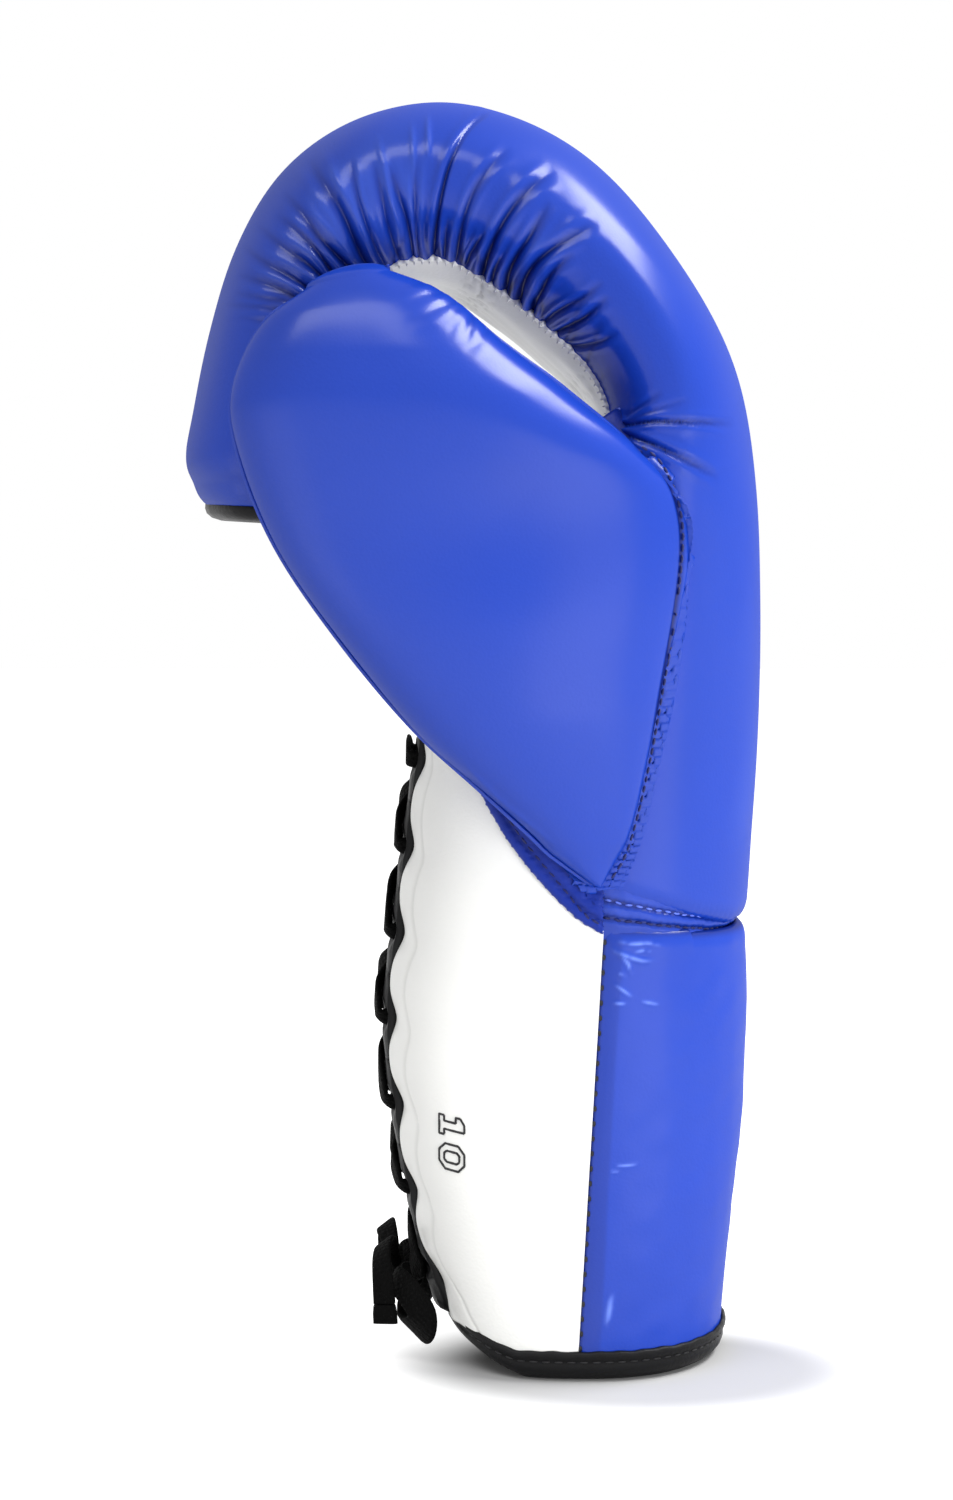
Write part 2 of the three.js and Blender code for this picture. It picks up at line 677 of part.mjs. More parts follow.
addPiece(
  "tongue",
  gloveSolid(evenInset(tongueDepth))
    .subtract(gloveSolid(evenInset(tongueDepth + tongueThickness)))
    .intersect(cuffRegion)
    .intersect(boxSolid(tongueBottom, tongueTop)),
  blackBinding,
);

// A curve whose steps fall on its own points, so that the lace keeps to its holes.
class PointedCurve extends THREE.CatmullRomCurve3 {
  getUtoTmapping(u) {
    return u;
  }
}
function cordSolid(points) {
  const section = new THREE.Shape();
  for (let k = 0; k < laceSides; k++) {
    const angle = (k * 2 * Math.PI) / laceSides;
    const x = (laceDiameter / 2) * Math.cos(angle);
    const y = (laceDiameter / 2) * Math.sin(angle);
    if (k === 0) section.moveTo(x, y);
    else section.lineTo(x, y);
  }
  const extrudePath = new PointedCurve(points);
  const steps = points.length - 1;
  return solidOf(new THREE.ExtrudeGeometry(section, { steps, extrudePath, bevelEnabled: false }));
}

const laceOver = -laceFacingProud - laceClearance - laceDiameter / 2;
const laceUnder = laceFacingThickness - laceFacingProud + laceClearance + laceDiameter / 2;
// One strand from the bottom row to the top, starting on a side, over or under the other where they cross.
function laceStrand(firstSide, crossDepth) {
  const points = [];
  for (let i = 0; i < laceRowCount - 1; i++) {
    const side = i % 2 === 0 ? firstSide : -firstSide;
    const z = rows[i];
    const next = rows[i + 1];
    const place = (share, y, depth) => cuffPoint(side * y, mix(z, next, share), depth);
    points.push(place(0, laceHoleY, laceOver));
    points.push(place(laceOverShare, laceEdgeShare * slitHalfGap, laceOver));
    points.push(place(0.5, 0, crossDepth));
    points.push(place(1 - laceOverShare, -laceEdgeShare * slitHalfGap, laceUnder));
    points.push(place(1, -laceHoleY, laceUnder));
  }
  const lastSide = (laceRowCount - 1) % 2 === 0 ? firstSide : -firstSide;
  points.push(cuffPoint(lastSide * laceHoleY, rows[laceRowCount - 1], laceOver));
  return points;
}
const knotAt = cuffPoint(0, laceKnotZ, -laceKnotProud);
const knotStart = (side) =>
  knotAt.clone().add(new THREE.Vector3(0, side * laceDiameter, laceKnotRadius + layerGap));
const strandOut = laceStrand(-1, laceCrossOver);
const strandBack = laceStrand(1, laceCrossUnder).reverse();
const topBar = cuffPoint(0, rows[laceRowCount - 1] + laceDiameter, laceOver);
addPiece(
  "lace",
  cordSolid([knotStart(-1), ...strandOut, topBar, ...strandBack, knotStart(1)]),
  blackLace,
);
const knot = new THREE.SphereGeometry(laceKnotRadius, roundSides, knotBands);
knot.translate(knotAt.x, knotAt.y, knotAt.z);
addPiece("lace_knot", solidOf(knot), blackLace);
const fromKnot = (x, y, z) => knotAt.clone().add(new THREE.Vector3(x, y, z));
const bowLoopRoute = (side) => [
  fromKnot(-1.5, side * 5.2, -1.5),
  fromKnot(-3.4, side * 8, 0.4),
  fromKnot(-4.4, side * 12, 1.6),
  fromKnot(-3.8, side * 16, 1.4),
  fromKnot(-1.6, side * 20, 0),
  fromKnot(1.2, side * 23.6, -2.8),
  fromKnot(3, side * 25.6, -6.4),
  fromKnot(3, side * 25, -10.2),
  fromKnot(1.6, side * 21.8, -12.8),
  fromKnot(0.2, side * 17.6, -13.2),
  fromKnot(-0.8, side * 13.4, -11.6),
  fromKnot(-1.2, side * 9.6, -8.8),
  fromKnot(-1, side * 6.8, -6),
  fromKnot(-0.6, side * 4.4, -3.8),
];
const bowTailRoute = (side) => [
  fromKnot(-3.6, side * 1.6, 2.4),
  fromKnot(-5.2, side * 3, 5.5),
  fromKnot(-6.6, side * 5.6, 7.6),
  fromKnot(-7.6, side * 9.4, 8.2),
  fromKnot(-8.2, side * 13.2, 7),
  fromKnot(-8.4, side * 16.7, 4.8),
  fromKnot(-8.2, side * 19.5, 1.6),
  fromKnot(-7.9, side * 21.1, -2.1),
  fromKnot(-7.7, side * 21.5, -5.8),
];
function laceTip(side) {
  const route = bowTailRoute(side);
  const end = route[route.length - 1];
  const tip = new THREE.CylinderGeometry(laceTipRadius, laceTipRadius, laceTipLength, laceSides);
  tip.rotateX(Math.PI / 2);
  tip.translate(end.x, end.y, end.z - layerGap - laceTipLength / 2);
  return solidOf(tip);
}
for (const [name, side] of [["thumb", -1], ["finger", 1]]) {
  addPiece(`bow_loop_${name}`, cordSolid(bowLoopRoute(side)), blackLace);
  addPiece(`bow_tail_${name}`, cordSolid(bowTailRoute(side)), blackLace);
  addPiece(`lace_tip_${name}`, laceTip(side), blackLace);
}

// The origin is under the middle of the glove, without the free ends of the lace.
const freeLace = /^(bow_|lace_tip_)/;
const gloveBox = new THREE.Box3();
for (const piece of pieces.children) {
  if (!freeLace.test(piece.name)) gloveBox.expandByObject(piece);
}
const gloveMiddle = gloveBox.getCenter(new THREE.Vector3());
pieces.position.set(-gloveMiddle.x, -gloveMiddle.y, -gloveBox.min.z);

export default pieces;
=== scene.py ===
# Lace-up boxing glove, right hand: leathers, seams, gathers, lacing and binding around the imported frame.
# The shapes are worked out in millimetres, on the hand's own axes, and moved into the frame in metres.
import bmesh
import bpy
import math
import numpy as np
import random
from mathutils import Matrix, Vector


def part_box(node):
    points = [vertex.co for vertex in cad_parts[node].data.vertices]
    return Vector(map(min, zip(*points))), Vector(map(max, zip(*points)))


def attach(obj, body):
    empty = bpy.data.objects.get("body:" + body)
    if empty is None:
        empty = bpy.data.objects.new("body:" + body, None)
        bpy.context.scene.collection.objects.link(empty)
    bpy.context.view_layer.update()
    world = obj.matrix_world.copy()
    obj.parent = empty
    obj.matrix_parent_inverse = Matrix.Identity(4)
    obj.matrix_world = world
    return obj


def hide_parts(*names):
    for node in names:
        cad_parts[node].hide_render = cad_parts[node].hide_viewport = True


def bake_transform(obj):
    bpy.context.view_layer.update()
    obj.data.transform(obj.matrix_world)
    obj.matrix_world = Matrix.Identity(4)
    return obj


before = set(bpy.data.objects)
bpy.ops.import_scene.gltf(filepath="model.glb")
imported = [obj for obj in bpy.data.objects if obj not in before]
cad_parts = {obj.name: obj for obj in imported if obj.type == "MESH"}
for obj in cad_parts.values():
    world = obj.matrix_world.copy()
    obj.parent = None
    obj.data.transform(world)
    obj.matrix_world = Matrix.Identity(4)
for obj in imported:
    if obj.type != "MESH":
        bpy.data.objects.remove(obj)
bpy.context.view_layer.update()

mm = 0.001
gloveSizes = {"height": 305, "reach": 140, "width": 120, "backRoundness": 2.2, "palmRoundness": 2.8,
              "handRoundness": 2.1}
# Back or knuckle side and palm side as shares of reach and height, and half the width as a share of width
gloveStations = [
    [0.213, 0, -0.266, 0, 0.325],
    [0.225, 0.066, -0.307, 0.066, 0.33],
    [0.246, 0.17, -0.357, 0.17, 0.333],
    [0.259, 0.275, -0.381, 0.275, 0.342],
    [0.254, 0.339, -0.364, 0.348, 0.346],
    [0.264, 0.41, -0.339, 0.439, 0.367],
    [0.273, 0.508, -0.3, 0.534, 0.408],
    [0.277, 0.607, -0.214, 0.62, 0.458],
    [0.266, 0.695, -0.1, 0.689, 0.492],
    [0.221, 0.797, -0.018, 0.741, 0.5],
    [0.124, 0.879, -0.043, 0.775, 0.5],
    [-0.018, 0.951, -0.125, 0.811, 0.5],
    [-0.15, 0.987, -0.204, 0.839, 0.5],
    [-0.284, 1, -0.275, 0.857, 0.5],
    [-0.425, 0.987, -0.339, 0.856, 0.492],
    [-0.55, 0.946, -0.393, 0.836, 0.483],
    [-0.636, 0.885, -0.429, 0.805, 0.471],
    [-0.682, 0.82, -0.446, 0.769, 0.458],
    [-0.711, 0.757, -0.457, 0.734, 0.446],
    [-0.725, 0.715, -0.461, 0.702, 0.433],
    [-0.7, 0.692, -0.468, 0.69, 0.4],
]
# Lower and upper edge in X and Z, the depth of both towards the thumb side, and the swell outwards and inwards
thumbStations = [
    [-0.043, 0.387, 0.021, 0.39, 0.367, 0.35, 0.025, 0.025],
    [-0.107, 0.421, 0.055, 0.43, 0.417, 0.358, 0.067, 0.05],
    [-0.214, 0.468, 0.08, 0.485, 0.467, 0.367, 0.108, 0.075],
    [-0.319, 0.513, 0.104, 0.538, 0.5, 0.383, 0.142, 0.092],
    [-0.439, 0.58, 0.122, 0.61, 0.542, 0.4, 0.167, 0.108],
    [-0.543, 0.651, 0.118, 0.68, 0.558, 0.425, 0.175, 0.117],
    [-0.596, 0.711, 0.043, 0.721, 0.575, 0.5, 0.175, 0.117],
    [-0.611, 0.754, -0.086, 0.759, 0.583, 0.558, 0.167, 0.125],
    [-0.589, 0.79, -0.193, 0.793, 0.583, 0.575, 0.15, 0.125],
    [-0.55, 0.818, -0.279, 0.825, 0.583, 0.583, 0.117, 0.1],
    [-0.493, 0.837, -0.357, 0.841, 0.583, 0.583, 0.067, 0.067],
]


def railThrough(points, samples=801, blur=7):
    # The same centripetal spline as the frame's, sampled and slightly smoothed
    points = np.array(points, float)
    ends = np.vstack([2 * points[0] - points[1], points, 2 * points[-1] - points[-2]])
    place = np.linspace(0, len(points) - 1, samples)
    i = np.minimum(place.astype(int), len(points) - 2)
    t = (place - i)[:, None]
    p0, p1, p2, p3 = (ends[i + k] for k in range(4))
    step = [np.linalg.norm(b - a, axis=1, keepdims=True) ** 0.5 for a, b in ((p0, p1), (p1, p2), (p2, p3))]
    d1 = np.where(step[1] < 1e-4, 1, step[1])
    d0 = np.where(step[0] < 1e-4, d1, step[0])
    d2 = np.where(step[2] < 1e-4, d1, step[2])
    m1 = ((p1 - p0) / d0 - (p2 - p0) / (d0 + d1) + (p2 - p1) / d1) * d1
    m2 = ((p2 - p1) / d1 - (p3 - p1) / (d1 + d2) + (p3 - p2) / d2) * d1
    curve = p1 + m1 * t + (3 * (p2 - p1) - 2 * m1 - m2) * t ** 2 + (2 * (p1 - p2) + m1 + m2) * t ** 3
    reach = np.arange(-3 * blur, 3 * blur + 1)
    weight = np.exp(-0.5 * (reach / blur) ** 2)
    before = 2 * curve[0] - curve[3 * blur:0:-1]
    after = 2 * curve[-1] - curve[-2:-3 * blur - 2:-1]
    padded = np.vstack([before, curve, after])
    return np.stack([np.convolve(padded[:, k], weight / weight.sum(), "valid") for k in range(3)], axis=1)


def along(rail, share):
    place = np.clip(share, 0, 1) * (len(rail) - 1)
    low = np.minimum(place.astype(int), len(rail) - 2)
    part = (place - low)[..., None]
    return rail[low] * (1 - part) + rail[low + 1] * part


height, reach, width = gloveSizes["height"], gloveSizes["reach"], gloveSizes["width"]
backRail = railThrough([[row[0] * reach, 0, row[1] * height] for row in gloveStations])
palmRail = railThrough([[row[2] * reach, 0, row[3] * height] for row in gloveStations])
widthRail = railThrough([[row[4] * width, 0, 0] for row in gloveStations])
lowerRail = railThrough([[row[0] * reach, -row[4] * width, row[1] * height] for row in thumbStations])
upperRail = railThrough([[row[2] * reach, -row[5] * width, row[3] * height] for row in thumbStations])
swellRail = railThrough([[row[6] * width, row[7] * width, 0] for row in thumbStations])


def unit(vectors):
    return vectors / np.maximum(np.linalg.norm(vectors, axis=-1, keepdims=True), 1e-9)


def rise(value, low, high):
    share = np.clip((value - low) / (high - low), 0, 1)
    return share * share * (3 - 2 * share)


def mix(a, b, share):
    return a + (b - a) * share


def roundness(cosine):
    return np.where(cosine > 0, gloveSizes["backRoundness"], gloveSizes["palmRoundness"])


def glovePoint(share, angle, back=0.0, palm=None, side=None, hand=0.0):
    # A point on the glove, or inside it by insets. Angle 0 is the back, pi the palm, a negative sine the thumb side.
    palm = back if palm is None else palm
    side = back if side is None else side
    share, angle, back, palm, side = np.broadcast_arrays(share, angle, back, palm, side)
    backAt, palmAt = along(backRail, share), along(palmRail, share)
    across = unit(backAt - palmAt)
    depth = np.linalg.norm(backAt - palmAt, axis=-1)
    middle = (backAt + palmAt) / 2 + across * ((palm - back) / 2)[..., None]
    cosine, sine = np.cos(angle), np.sin(angle)
    power = mix(roundness(cosine), gloveSizes["handRoundness"], hand)
    radius = (np.abs(cosine) ** power + np.abs(sine) ** power) ** (-1 / power)
    point = middle + across * ((depth - back - palm) / 2 * radius * cosine)[..., None]
    point[..., 1] += (along(widthRail, share)[..., 0] - side) * radius * sine
    return point


def thumbPoint(share, angle, inset=0.0, swellShare=1.0):
    # A point on the thumb. Angle 0 is the upper edge, pi the lower edge, and a positive sine faces outwards.
    share, angle = np.broadcast_arrays(share, angle)
    lower, upper = along(lowerRail, share), along(upperRail, share)
    axis = unit(upper - lower)
    half = np.linalg.norm(upper - lower, axis=-1) / 2 - inset
    outwards = unit(np.array([0, -1.0, 0]) + axis * axis[..., 1:2])
    swell = along(swellRail, share)
    cosine, sine = np.cos(angle), np.sin(angle)
    radius = (np.abs(cosine) ** 2.3 + np.abs(sine) ** 2.3) ** (-1 / 2.3)
    depth = (np.where(sine > 0, swell[..., 0], swell[..., 1]) - inset) * swellShare
    return (lower + upper) / 2 + axis * (half * radius * cosine)[..., None] + outwards * (depth * radius * sine)[..., None]


def palmPoint(y, z, depth=0.0):
    # A point on the palm side of the cuff at a place across and up, so far below the leather
    share = np.interp(z, palmRail[:330, 2], np.linspace(0, 329 / 800, 330))
    palm, back = along(palmRail, share), along(backRail, share)
    half = np.linalg.norm(back - palm, axis=-1) / 2
    bent = np.clip(np.abs(y) / along(widthRail, share)[..., 0], 0, 1) ** gloveSizes["palmRoundness"]
    bend = half * (1 - (1 - bent) ** (1 / gloveSizes["palmRoundness"]))
    return np.stack(np.broadcast_arrays(palm[..., 0] + bend + depth, y, z), axis=-1)


def mittDepth(x, z):
    # How far the mitt's surface stands out to the side at a place in X and Z, or 0 beside it
    shares = np.linspace(0.12, 0.985, 260)
    backAt, palmAt = along(backRail, shares), along(palmRail, shares)
    across = unit(backAt - palmAt)
    flat = np.stack([x.ravel(), z.ravel()], axis=1)
    side = (flat[:, None, 0] - palmAt[:, 0]) * across[:, 2] - (flat[:, None, 1] - palmAt[:, 2]) * across[:, 0]
    reachAt = (flat[:, None, 0] - palmAt[:, 0]) * across[:, 0] + (flat[:, None, 1] - palmAt[:, 2]) * across[:, 2]
    half = np.linalg.norm(backAt - palmAt, axis=1) / 2
    cosine = reachAt / half - 1
    misses = np.abs(side) + 1e3 * (np.abs(cosine) > 1)
    best = misses.argmin(axis=1)
    picked = cosine[np.arange(len(flat)), best]
    power = roundness(picked)
    depth = along(widthRail, shares[best])[:, 0] * (1 - np.clip(np.abs(picked), 0, 1) ** power) ** (1 / power)
    depth[misses.min(axis=1) > 3] = 0
    return depth.reshape(x.shape)


# The frame's origin lies under the middle of the glove, and the knot shows where that is
knotSizes = {"z": 17, "proud": 5}
knotAt = palmPoint(np.float64(0), np.float64(knotSizes["z"]), -knotSizes["proud"])
knotMiddle = (np.array(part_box("lace_knot")[0]) + np.array(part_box("lace_knot")[1])) / 2
gloveShift = knotMiddle / mm - knotAt
print("glove: axes of the hand shifted by", np.round(gloveShift, 3))


def place(point):
    return tuple(float(v) for v in (np.array(point, float) + gloveShift) * mm)


# Camera, at the height of the thumb and looking slightly down
cameraView = {"x": -30.9, "y": -750, "z": 200, "tilt": 3.95, "lens": 72.9}
photoSize = {"wide": 953, "high": 1500, "mmPerPixel": 0.235}


def photoSpot(points):
    # Where points on the hand's axes lie in the photograph, in its pixels
    tilt = math.radians(cameraView["tilt"])
    off = points - np.array([cameraView[key] for key in "xyz"])
    deep = off[..., 1] * math.cos(tilt) - off[..., 2] * math.sin(tilt)
    up = off[..., 1] * math.sin(tilt) + off[..., 2] * math.cos(tilt)
    focal = cameraView["lens"] / 36 * photoSize["high"]
    return np.stack([photoSize["wide"] / 2 + focal * off[..., 0] / deep, photoSize["high"] / 2 - focal * up / deep], axis=-1)



def photoPoint(spot, y):
    # The point at a pixel of the photograph, on the hand's axes, in the plane at that Y
    tilt = math.radians(cameraView["tilt"])
    focal = cameraView["lens"] / 36 * photoSize["high"]
    over, up = (spot[0] - photoSize["wide"] / 2) / focal, (photoSize["high"] / 2 - spot[1]) / focal
    ray = np.array([over, math.cos(tilt) + up * math.sin(tilt), up * math.cos(tilt) - math.sin(tilt)])
    return np.array([cameraView[key] for key in "xyz"]) + ray * (y - cameraView["y"]) / ray[1]


camera = bpy.data.objects.new("camera", bpy.data.cameras.new("camera"))
bpy.context.collection.objects.link(camera)
camera.location = place((cameraView["x"], cameraView["y"], cameraView["z"]))
camera.rotation_euler = (math.radians(90 - cameraView["tilt"]), 0, 0)
camera.data.lens = cameraView["lens"]
camera.data.sensor_width = 36
camera.data.clip_start = 0.01
bpy.context.scene.camera = camera
bpy.context.scene.view_settings.view_transform = "Standard"
print("glove: camera in place")


# Meshes
def gridNormals(points):
    return unit(np.cross(np.gradient(points, axis=1), np.gradient(points, axis=0)))


def gridFaces(rows, columns, wrap=False, first=0):
    i, j = np.meshgrid(np.arange(rows - 1), np.arange(columns if wrap else columns - 1), indexing="ij")
    k = (j + 1) % columns
    return (np.stack([i * columns + j, i * columns + k, (i + 1) * columns + k, (i + 1) * columns + j], axis=-1)
            .reshape(-1, 4) + first)


def addMesh(name, points, faces, masks=None, smooth=True):
    # Points in millimetres on the hand's axes; masks are values from 0 to 1 at each point
    mesh = bpy.data.meshes.new(name)
    mesh.from_pydata(((np.asarray(points, float).reshape(-1, 3) + gloveShift) * mm).tolist(), [], faces)
    work = bmesh.new()
    work.from_mesh(mesh)
    bmesh.ops.recalc_face_normals(work, faces=work.faces)
    work.to_mesh(mesh)
    work.free()
    for key, values in (masks or {}).items():
        layer = mesh.attributes.new(key, "FLOAT", "POINT")
        layer.data.foreach_set("value", np.asarray(values, np.float32).ravel())
    mesh.polygons.foreach_set("use_smooth", [smooth] * len(mesh.polygons))
    piece = bpy.data.objects.new(name, mesh)
    bpy.context.collection.objects.link(piece)
    return piece


def closeSheet(outer, inner, faces):
    # Points and faces of a closed skin between two sheets that share their faces' order
    faces = np.asarray(faces)
    size = len(outer)
    edges = np.concatenate([faces[:, [k, (k + 1) % 4]] for k in range(4)])
    keys = np.sort(edges, axis=1) @ [size, 1]
    _, where, times = np.unique(keys, return_index=True, return_counts=True)
    rim = edges[where[times == 1]]
    sides = np.stack([rim[:, 1], rim[:, 0], rim[:, 0] + size, rim[:, 1] + size], axis=1)
    return np.concatenate([outer, inner]), np.concatenate([faces, faces[:, ::-1] + size, sides]).tolist()


def addShell(name, base, height, thickness, masks=None, wrap=False):
    # A closed skin over a grid of points: raised by a height, and as thick all over
    rows, columns = base.shape[:2]
    if wrap:
        normals = gridNormals(np.concatenate([base[:, -1:], base, base[:, :1]], axis=1))[:, 1:-1]
    else:
        normals = gridNormals(base)
    outer = base + normals * np.broadcast_to(height, (rows, columns))[..., None]
    inner = outer - normals * thickness
    points, faces = closeSheet(outer.reshape(-1, 3), inner.reshape(-1, 3), gridFaces(rows, columns, wrap))
    doubled = {key: np.tile(np.broadcast_to(v, (rows, columns)).ravel(), 2) for key, v in (masks or {}).items()}
    return addMesh(name, points, faces, doubled), outer


def edgeDistances(points):
    # Distances in millimetres from the first and last row and from the first and last column
    down = np.linalg.norm(np.diff(points, axis=0), axis=-1)
    over = np.linalg.norm(np.diff(points, axis=1), axis=-1)
    fromFirst = np.concatenate([np.zeros((1, points.shape[1])), np.cumsum(down, axis=0)])
    fromLeft = np.concatenate([np.zeros((points.shape[0], 1)), np.cumsum(over, axis=1)], axis=1)
    return fromFirst, fromFirst[-1:] - fromFirst, fromLeft, fromLeft[:, -1:] - fromLeft


def dip(distance, depth, wide):
    return -depth * np.exp(-(distance / wide) ** 2)


def softNoise(points, size, seed, waves=9):
    # Smooth uneven values around 0, with lumps of about that size in millimetres
    dice = np.random.default_rng(seed)
    total = np.zeros(points.shape[:-1])
    for _ in range(waves):
        direction = unit(dice.normal(size=3))
        total += np.sin(points @ direction * (2 * math.pi / size) * dice.uniform(0.6, 1.5) + dice.uniform(0, 6.28))
    return total / math.sqrt(waves)


def tubeAlong(path, radius, sides=10, closed=False, flat=1.0, up=None):
    # Rings of a tube along a path, with its own radius at each point and flattened across its up direction
    path = np.asarray(path, float)
    radius = np.broadcast_to(radius, len(path))
    if closed:
        heading = unit(np.roll(path, -1, axis=0) - np.roll(path, 1, axis=0))
    else:
        heading = unit(np.gradient(path, axis=0))
    if up is None:
        ups = [unit(np.cross(heading[0], [0.3, 0.2, 0.9]))]
        for step in heading[1:]:
            ups.append(unit(ups[-1] - step * np.dot(ups[-1], step)))
        up = np.array(ups)
    up = unit(up - heading * np.sum(up * heading, axis=1, keepdims=True))
    side = np.cross(heading, up)
    turn = np.arange(sides) * 2 * math.pi / sides
    return (path[:, None] + side[:, None] * (np.cos(turn) * 1.0)[None, :, None] * radius[:, None, None]
            + up[:, None] * (np.sin(turn) * flat)[None, :, None] * radius[:, None, None])


def ringsMesh(rings, closed=False):
    # Points and faces of a tube through its rings, with flat ends unless it closes on itself
    count, sides = rings.shape[:2]
    points = rings.reshape(-1, 3)
    faces = gridFaces(count, sides, True).tolist()
    if closed:
        last = (count - 1) * sides
        faces += [[last + j, last + (j + 1) % sides, (j + 1) % sides, j] for j in range(sides)]
    else:
        faces += [list(range(sides))[::-1], [(count - 1) * sides + j for j in range(sides)]]
    return points, faces


def joinMeshes(parts):
    points, faces, first = [], [], 0
    for some, these in parts:
        points.append(some)
        faces += [[v + first for v in face] for face in these]
        first += len(some)
    return np.concatenate(points), faces


def spread(path, pitch):
    # Evenly spaced places along a path, with the heading at each
    path = np.asarray(path, float)
    run = np.concatenate([[0], np.cumsum(np.linalg.norm(np.diff(path, axis=0), axis=1))])
    count = max(int(run[-1] / pitch), 1)
    at = (np.arange(count) + 0.5) * run[-1] / count
    spots = np.stack([np.interp(at, run, path[:, k]) for k in range(3)], axis=1)
    ahead = np.stack([np.interp(at + 0.2 * pitch, run, path[:, k]) for k in range(3)], axis=1)
    back = np.stack([np.interp(at - 0.2 * pitch, run, path[:, k]) for k in range(3)], axis=1)
    return spots, unit(ahead - back)


def stitchRow(path, pitch, long, thick, across=None, sink=0.0):
    # Thread stitches with tapered ends along a path, or across it where a direction is given; sink is not used
    spots, headings = spread(path, pitch)
    parts = []
    for n, (spot, heading) in enumerate(zip(spots, headings)):
        line = heading if across is None else across[n % len(across)]
        ends = np.linspace(-0.5, 0.5, 5)
        rings = tubeAlong(spot + np.outer(ends * long, line), thick * np.array([0.45, 0.9, 1, 0.9, 0.45]), 6)
        parts.append(ringsMesh(rings))
    return joinMeshes(parts)


# Finishes
def linear(red, green, blue):
    return tuple((v / 255 / 12.92 if v <= 10 else ((v / 255 + 0.055) / 1.055) ** 2.4) for v in (red, green, blue)) + (1,)


def addNode(tree, kind, inputs=None, **settings):
    node = tree.nodes.new("ShaderNode" + kind)
    for key, value in settings.items():
        setattr(node, key, value)
    for key, value in (inputs or {}).items():
        if isinstance(value, bpy.types.NodeSocket):
            tree.links.new(value, node.inputs[key])
        else:
            node.inputs[key].default_value = value
    return node


def startGroup(name, inputs, outputs):
    tree = bpy.data.node_groups.new(name, "ShaderNodeTree")
    for label, kind, value in inputs:
        socket = tree.interface.new_socket(name=label, in_out="INPUT", socket_type="NodeSocket" + kind)
        if value is not None:
            socket.default_value = value
    for label, kind in outputs:
        tree.interface.new_socket(name=label, in_out="OUTPUT", socket_type="NodeSocket" + kind)
    return tree, tree.nodes.new("NodeGroupInput").outputs, tree.nodes.new("NodeGroupOutput").inputs


def math2(tree, operation, a, b):
    return addNode(tree, "Math", {0: a, 1: b}, operation=operation).outputs[0]


# Fine grain of leather: pebbles, pores and faint wrinkles, as a height and a tone
leatherGrain, given, shown = startGroup(
    "leatherGrain",
    [("Vector", "Vector", None), ("Pebbles", "Float", 1400.0), ("Wrinkles", "Float", 90.0)],
    [("Height", "Float"), ("Tone", "Float")])
pebbles = addNode(leatherGrain, "TexVoronoi", {"Vector": given["Vector"], "Scale": given["Pebbles"]}, feature="SMOOTH_F1")
pores = addNode(leatherGrain, "TexNoise", {"Vector": given["Vector"], "Scale": given["Pebbles"], "Detail": 3.0})
wrinkles = addNode(leatherGrain, "TexNoise", {"Vector": given["Vector"], "Scale": given["Wrinkles"], "Detail": 6.0,
                                              "Roughness": 0.62, "Distortion": 0.8})
bumps = math2(leatherGrain, "MULTIPLY", pebbles.outputs["Distance"], -0.5)
bumps = math2(leatherGrain, "ADD", bumps, math2(leatherGrain, "MULTIPLY", pores.outputs["Fac"], 0.35))
bumps = math2(leatherGrain, "ADD", bumps, math2(leatherGrain, "MULTIPLY", wrinkles.outputs["Fac"], 1.6))
leatherGrain.links.new(bumps, shown["Height"])
leatherGrain.links.new(wrinkles.outputs["Fac"], shown["Tone"])

# Dye that is a little uneven, with painted shade where a mask says that the leather folds in, and lighter where a mask
# says that it is rubbed or lays a painted highlight on crests
unevenDyeShadeAndHighlight, given, shown = startGroup(
    "unevenDyeShadeAndHighlight",
    [("Vector", "Vector", None), ("Color", "Color", (0.5, 0.5, 0.5, 1)), ("Deep Color", "Color", (0.1, 0.1, 0.1, 1)),
     ("Rubbed Color", "Color", (0.8, 0.8, 0.8, 1)), ("Fold", "Float", 0.0), ("Rub", "Float", 0.0),
     ("Unevenness", "Float", 0.15)],
    [("Color", "Color"), ("Rough", "Float")])
clouds = addNode(unevenDyeShadeAndHighlight, "TexNoise", {"Vector": given["Vector"], "Scale": 22.0, "Detail": 4.0})
cloudShare = math2(unevenDyeShadeAndHighlight, "MULTIPLY", clouds.outputs["Fac"], given["Unevenness"])
dyed = addNode(unevenDyeShadeAndHighlight, "Mix", {0: cloudShare, 6: given["Color"], 7: given["Deep Color"]}, data_type="RGBA")
foldShaded = addNode(unevenDyeShadeAndHighlight, "Mix", {0: given["Fold"], 6: dyed.outputs[2], 7: given["Deep Color"]}, data_type="RGBA")
rubbedAndHighlit = addNode(unevenDyeShadeAndHighlight, "Mix", {0: given["Rub"], 6: foldShaded.outputs[2], 7: given["Rubbed Color"]}, data_type="RGBA")
unevenDyeShadeAndHighlight.links.new(rubbedAndHighlit.outputs[2], shown["Color"])
unevenDyeShadeAndHighlight.links.new(clouds.outputs["Fac"], shown["Rough"])

# Crossed threads, as a height and a tone
weave, given, shown = startGroup(
    "weave", [("Vector", "Vector", None), ("Threads", "Float", 900.0)], [("Height", "Float"), ("Tone", "Float")])
scaled = addNode(weave, "VectorMath", {0: given["Vector"], 3: given["Threads"]}, operation="SCALE")
parts = addNode(weave, "SeparateXYZ", {0: scaled.outputs[0]})
ribs = [addNode(weave, "Math", {0: parts.outputs[k]}, operation="SINE").outputs[0] for k in range(3)]
crossed = math2(weave, "MULTIPLY", math2(weave, "ADD", ribs[0], ribs[1]), ribs[2])
fuzz = addNode(weave, "TexNoise", {"Vector": given["Vector"], "Scale": 1500.0, "Detail": 2.0})
weave.links.new(math2(weave, "ADD", math2(weave, "MULTIPLY", crossed, 0.25), fuzz.outputs["Fac"]), shown["Height"])
weave.links.new(fuzz.outputs["Fac"], shown["Tone"])


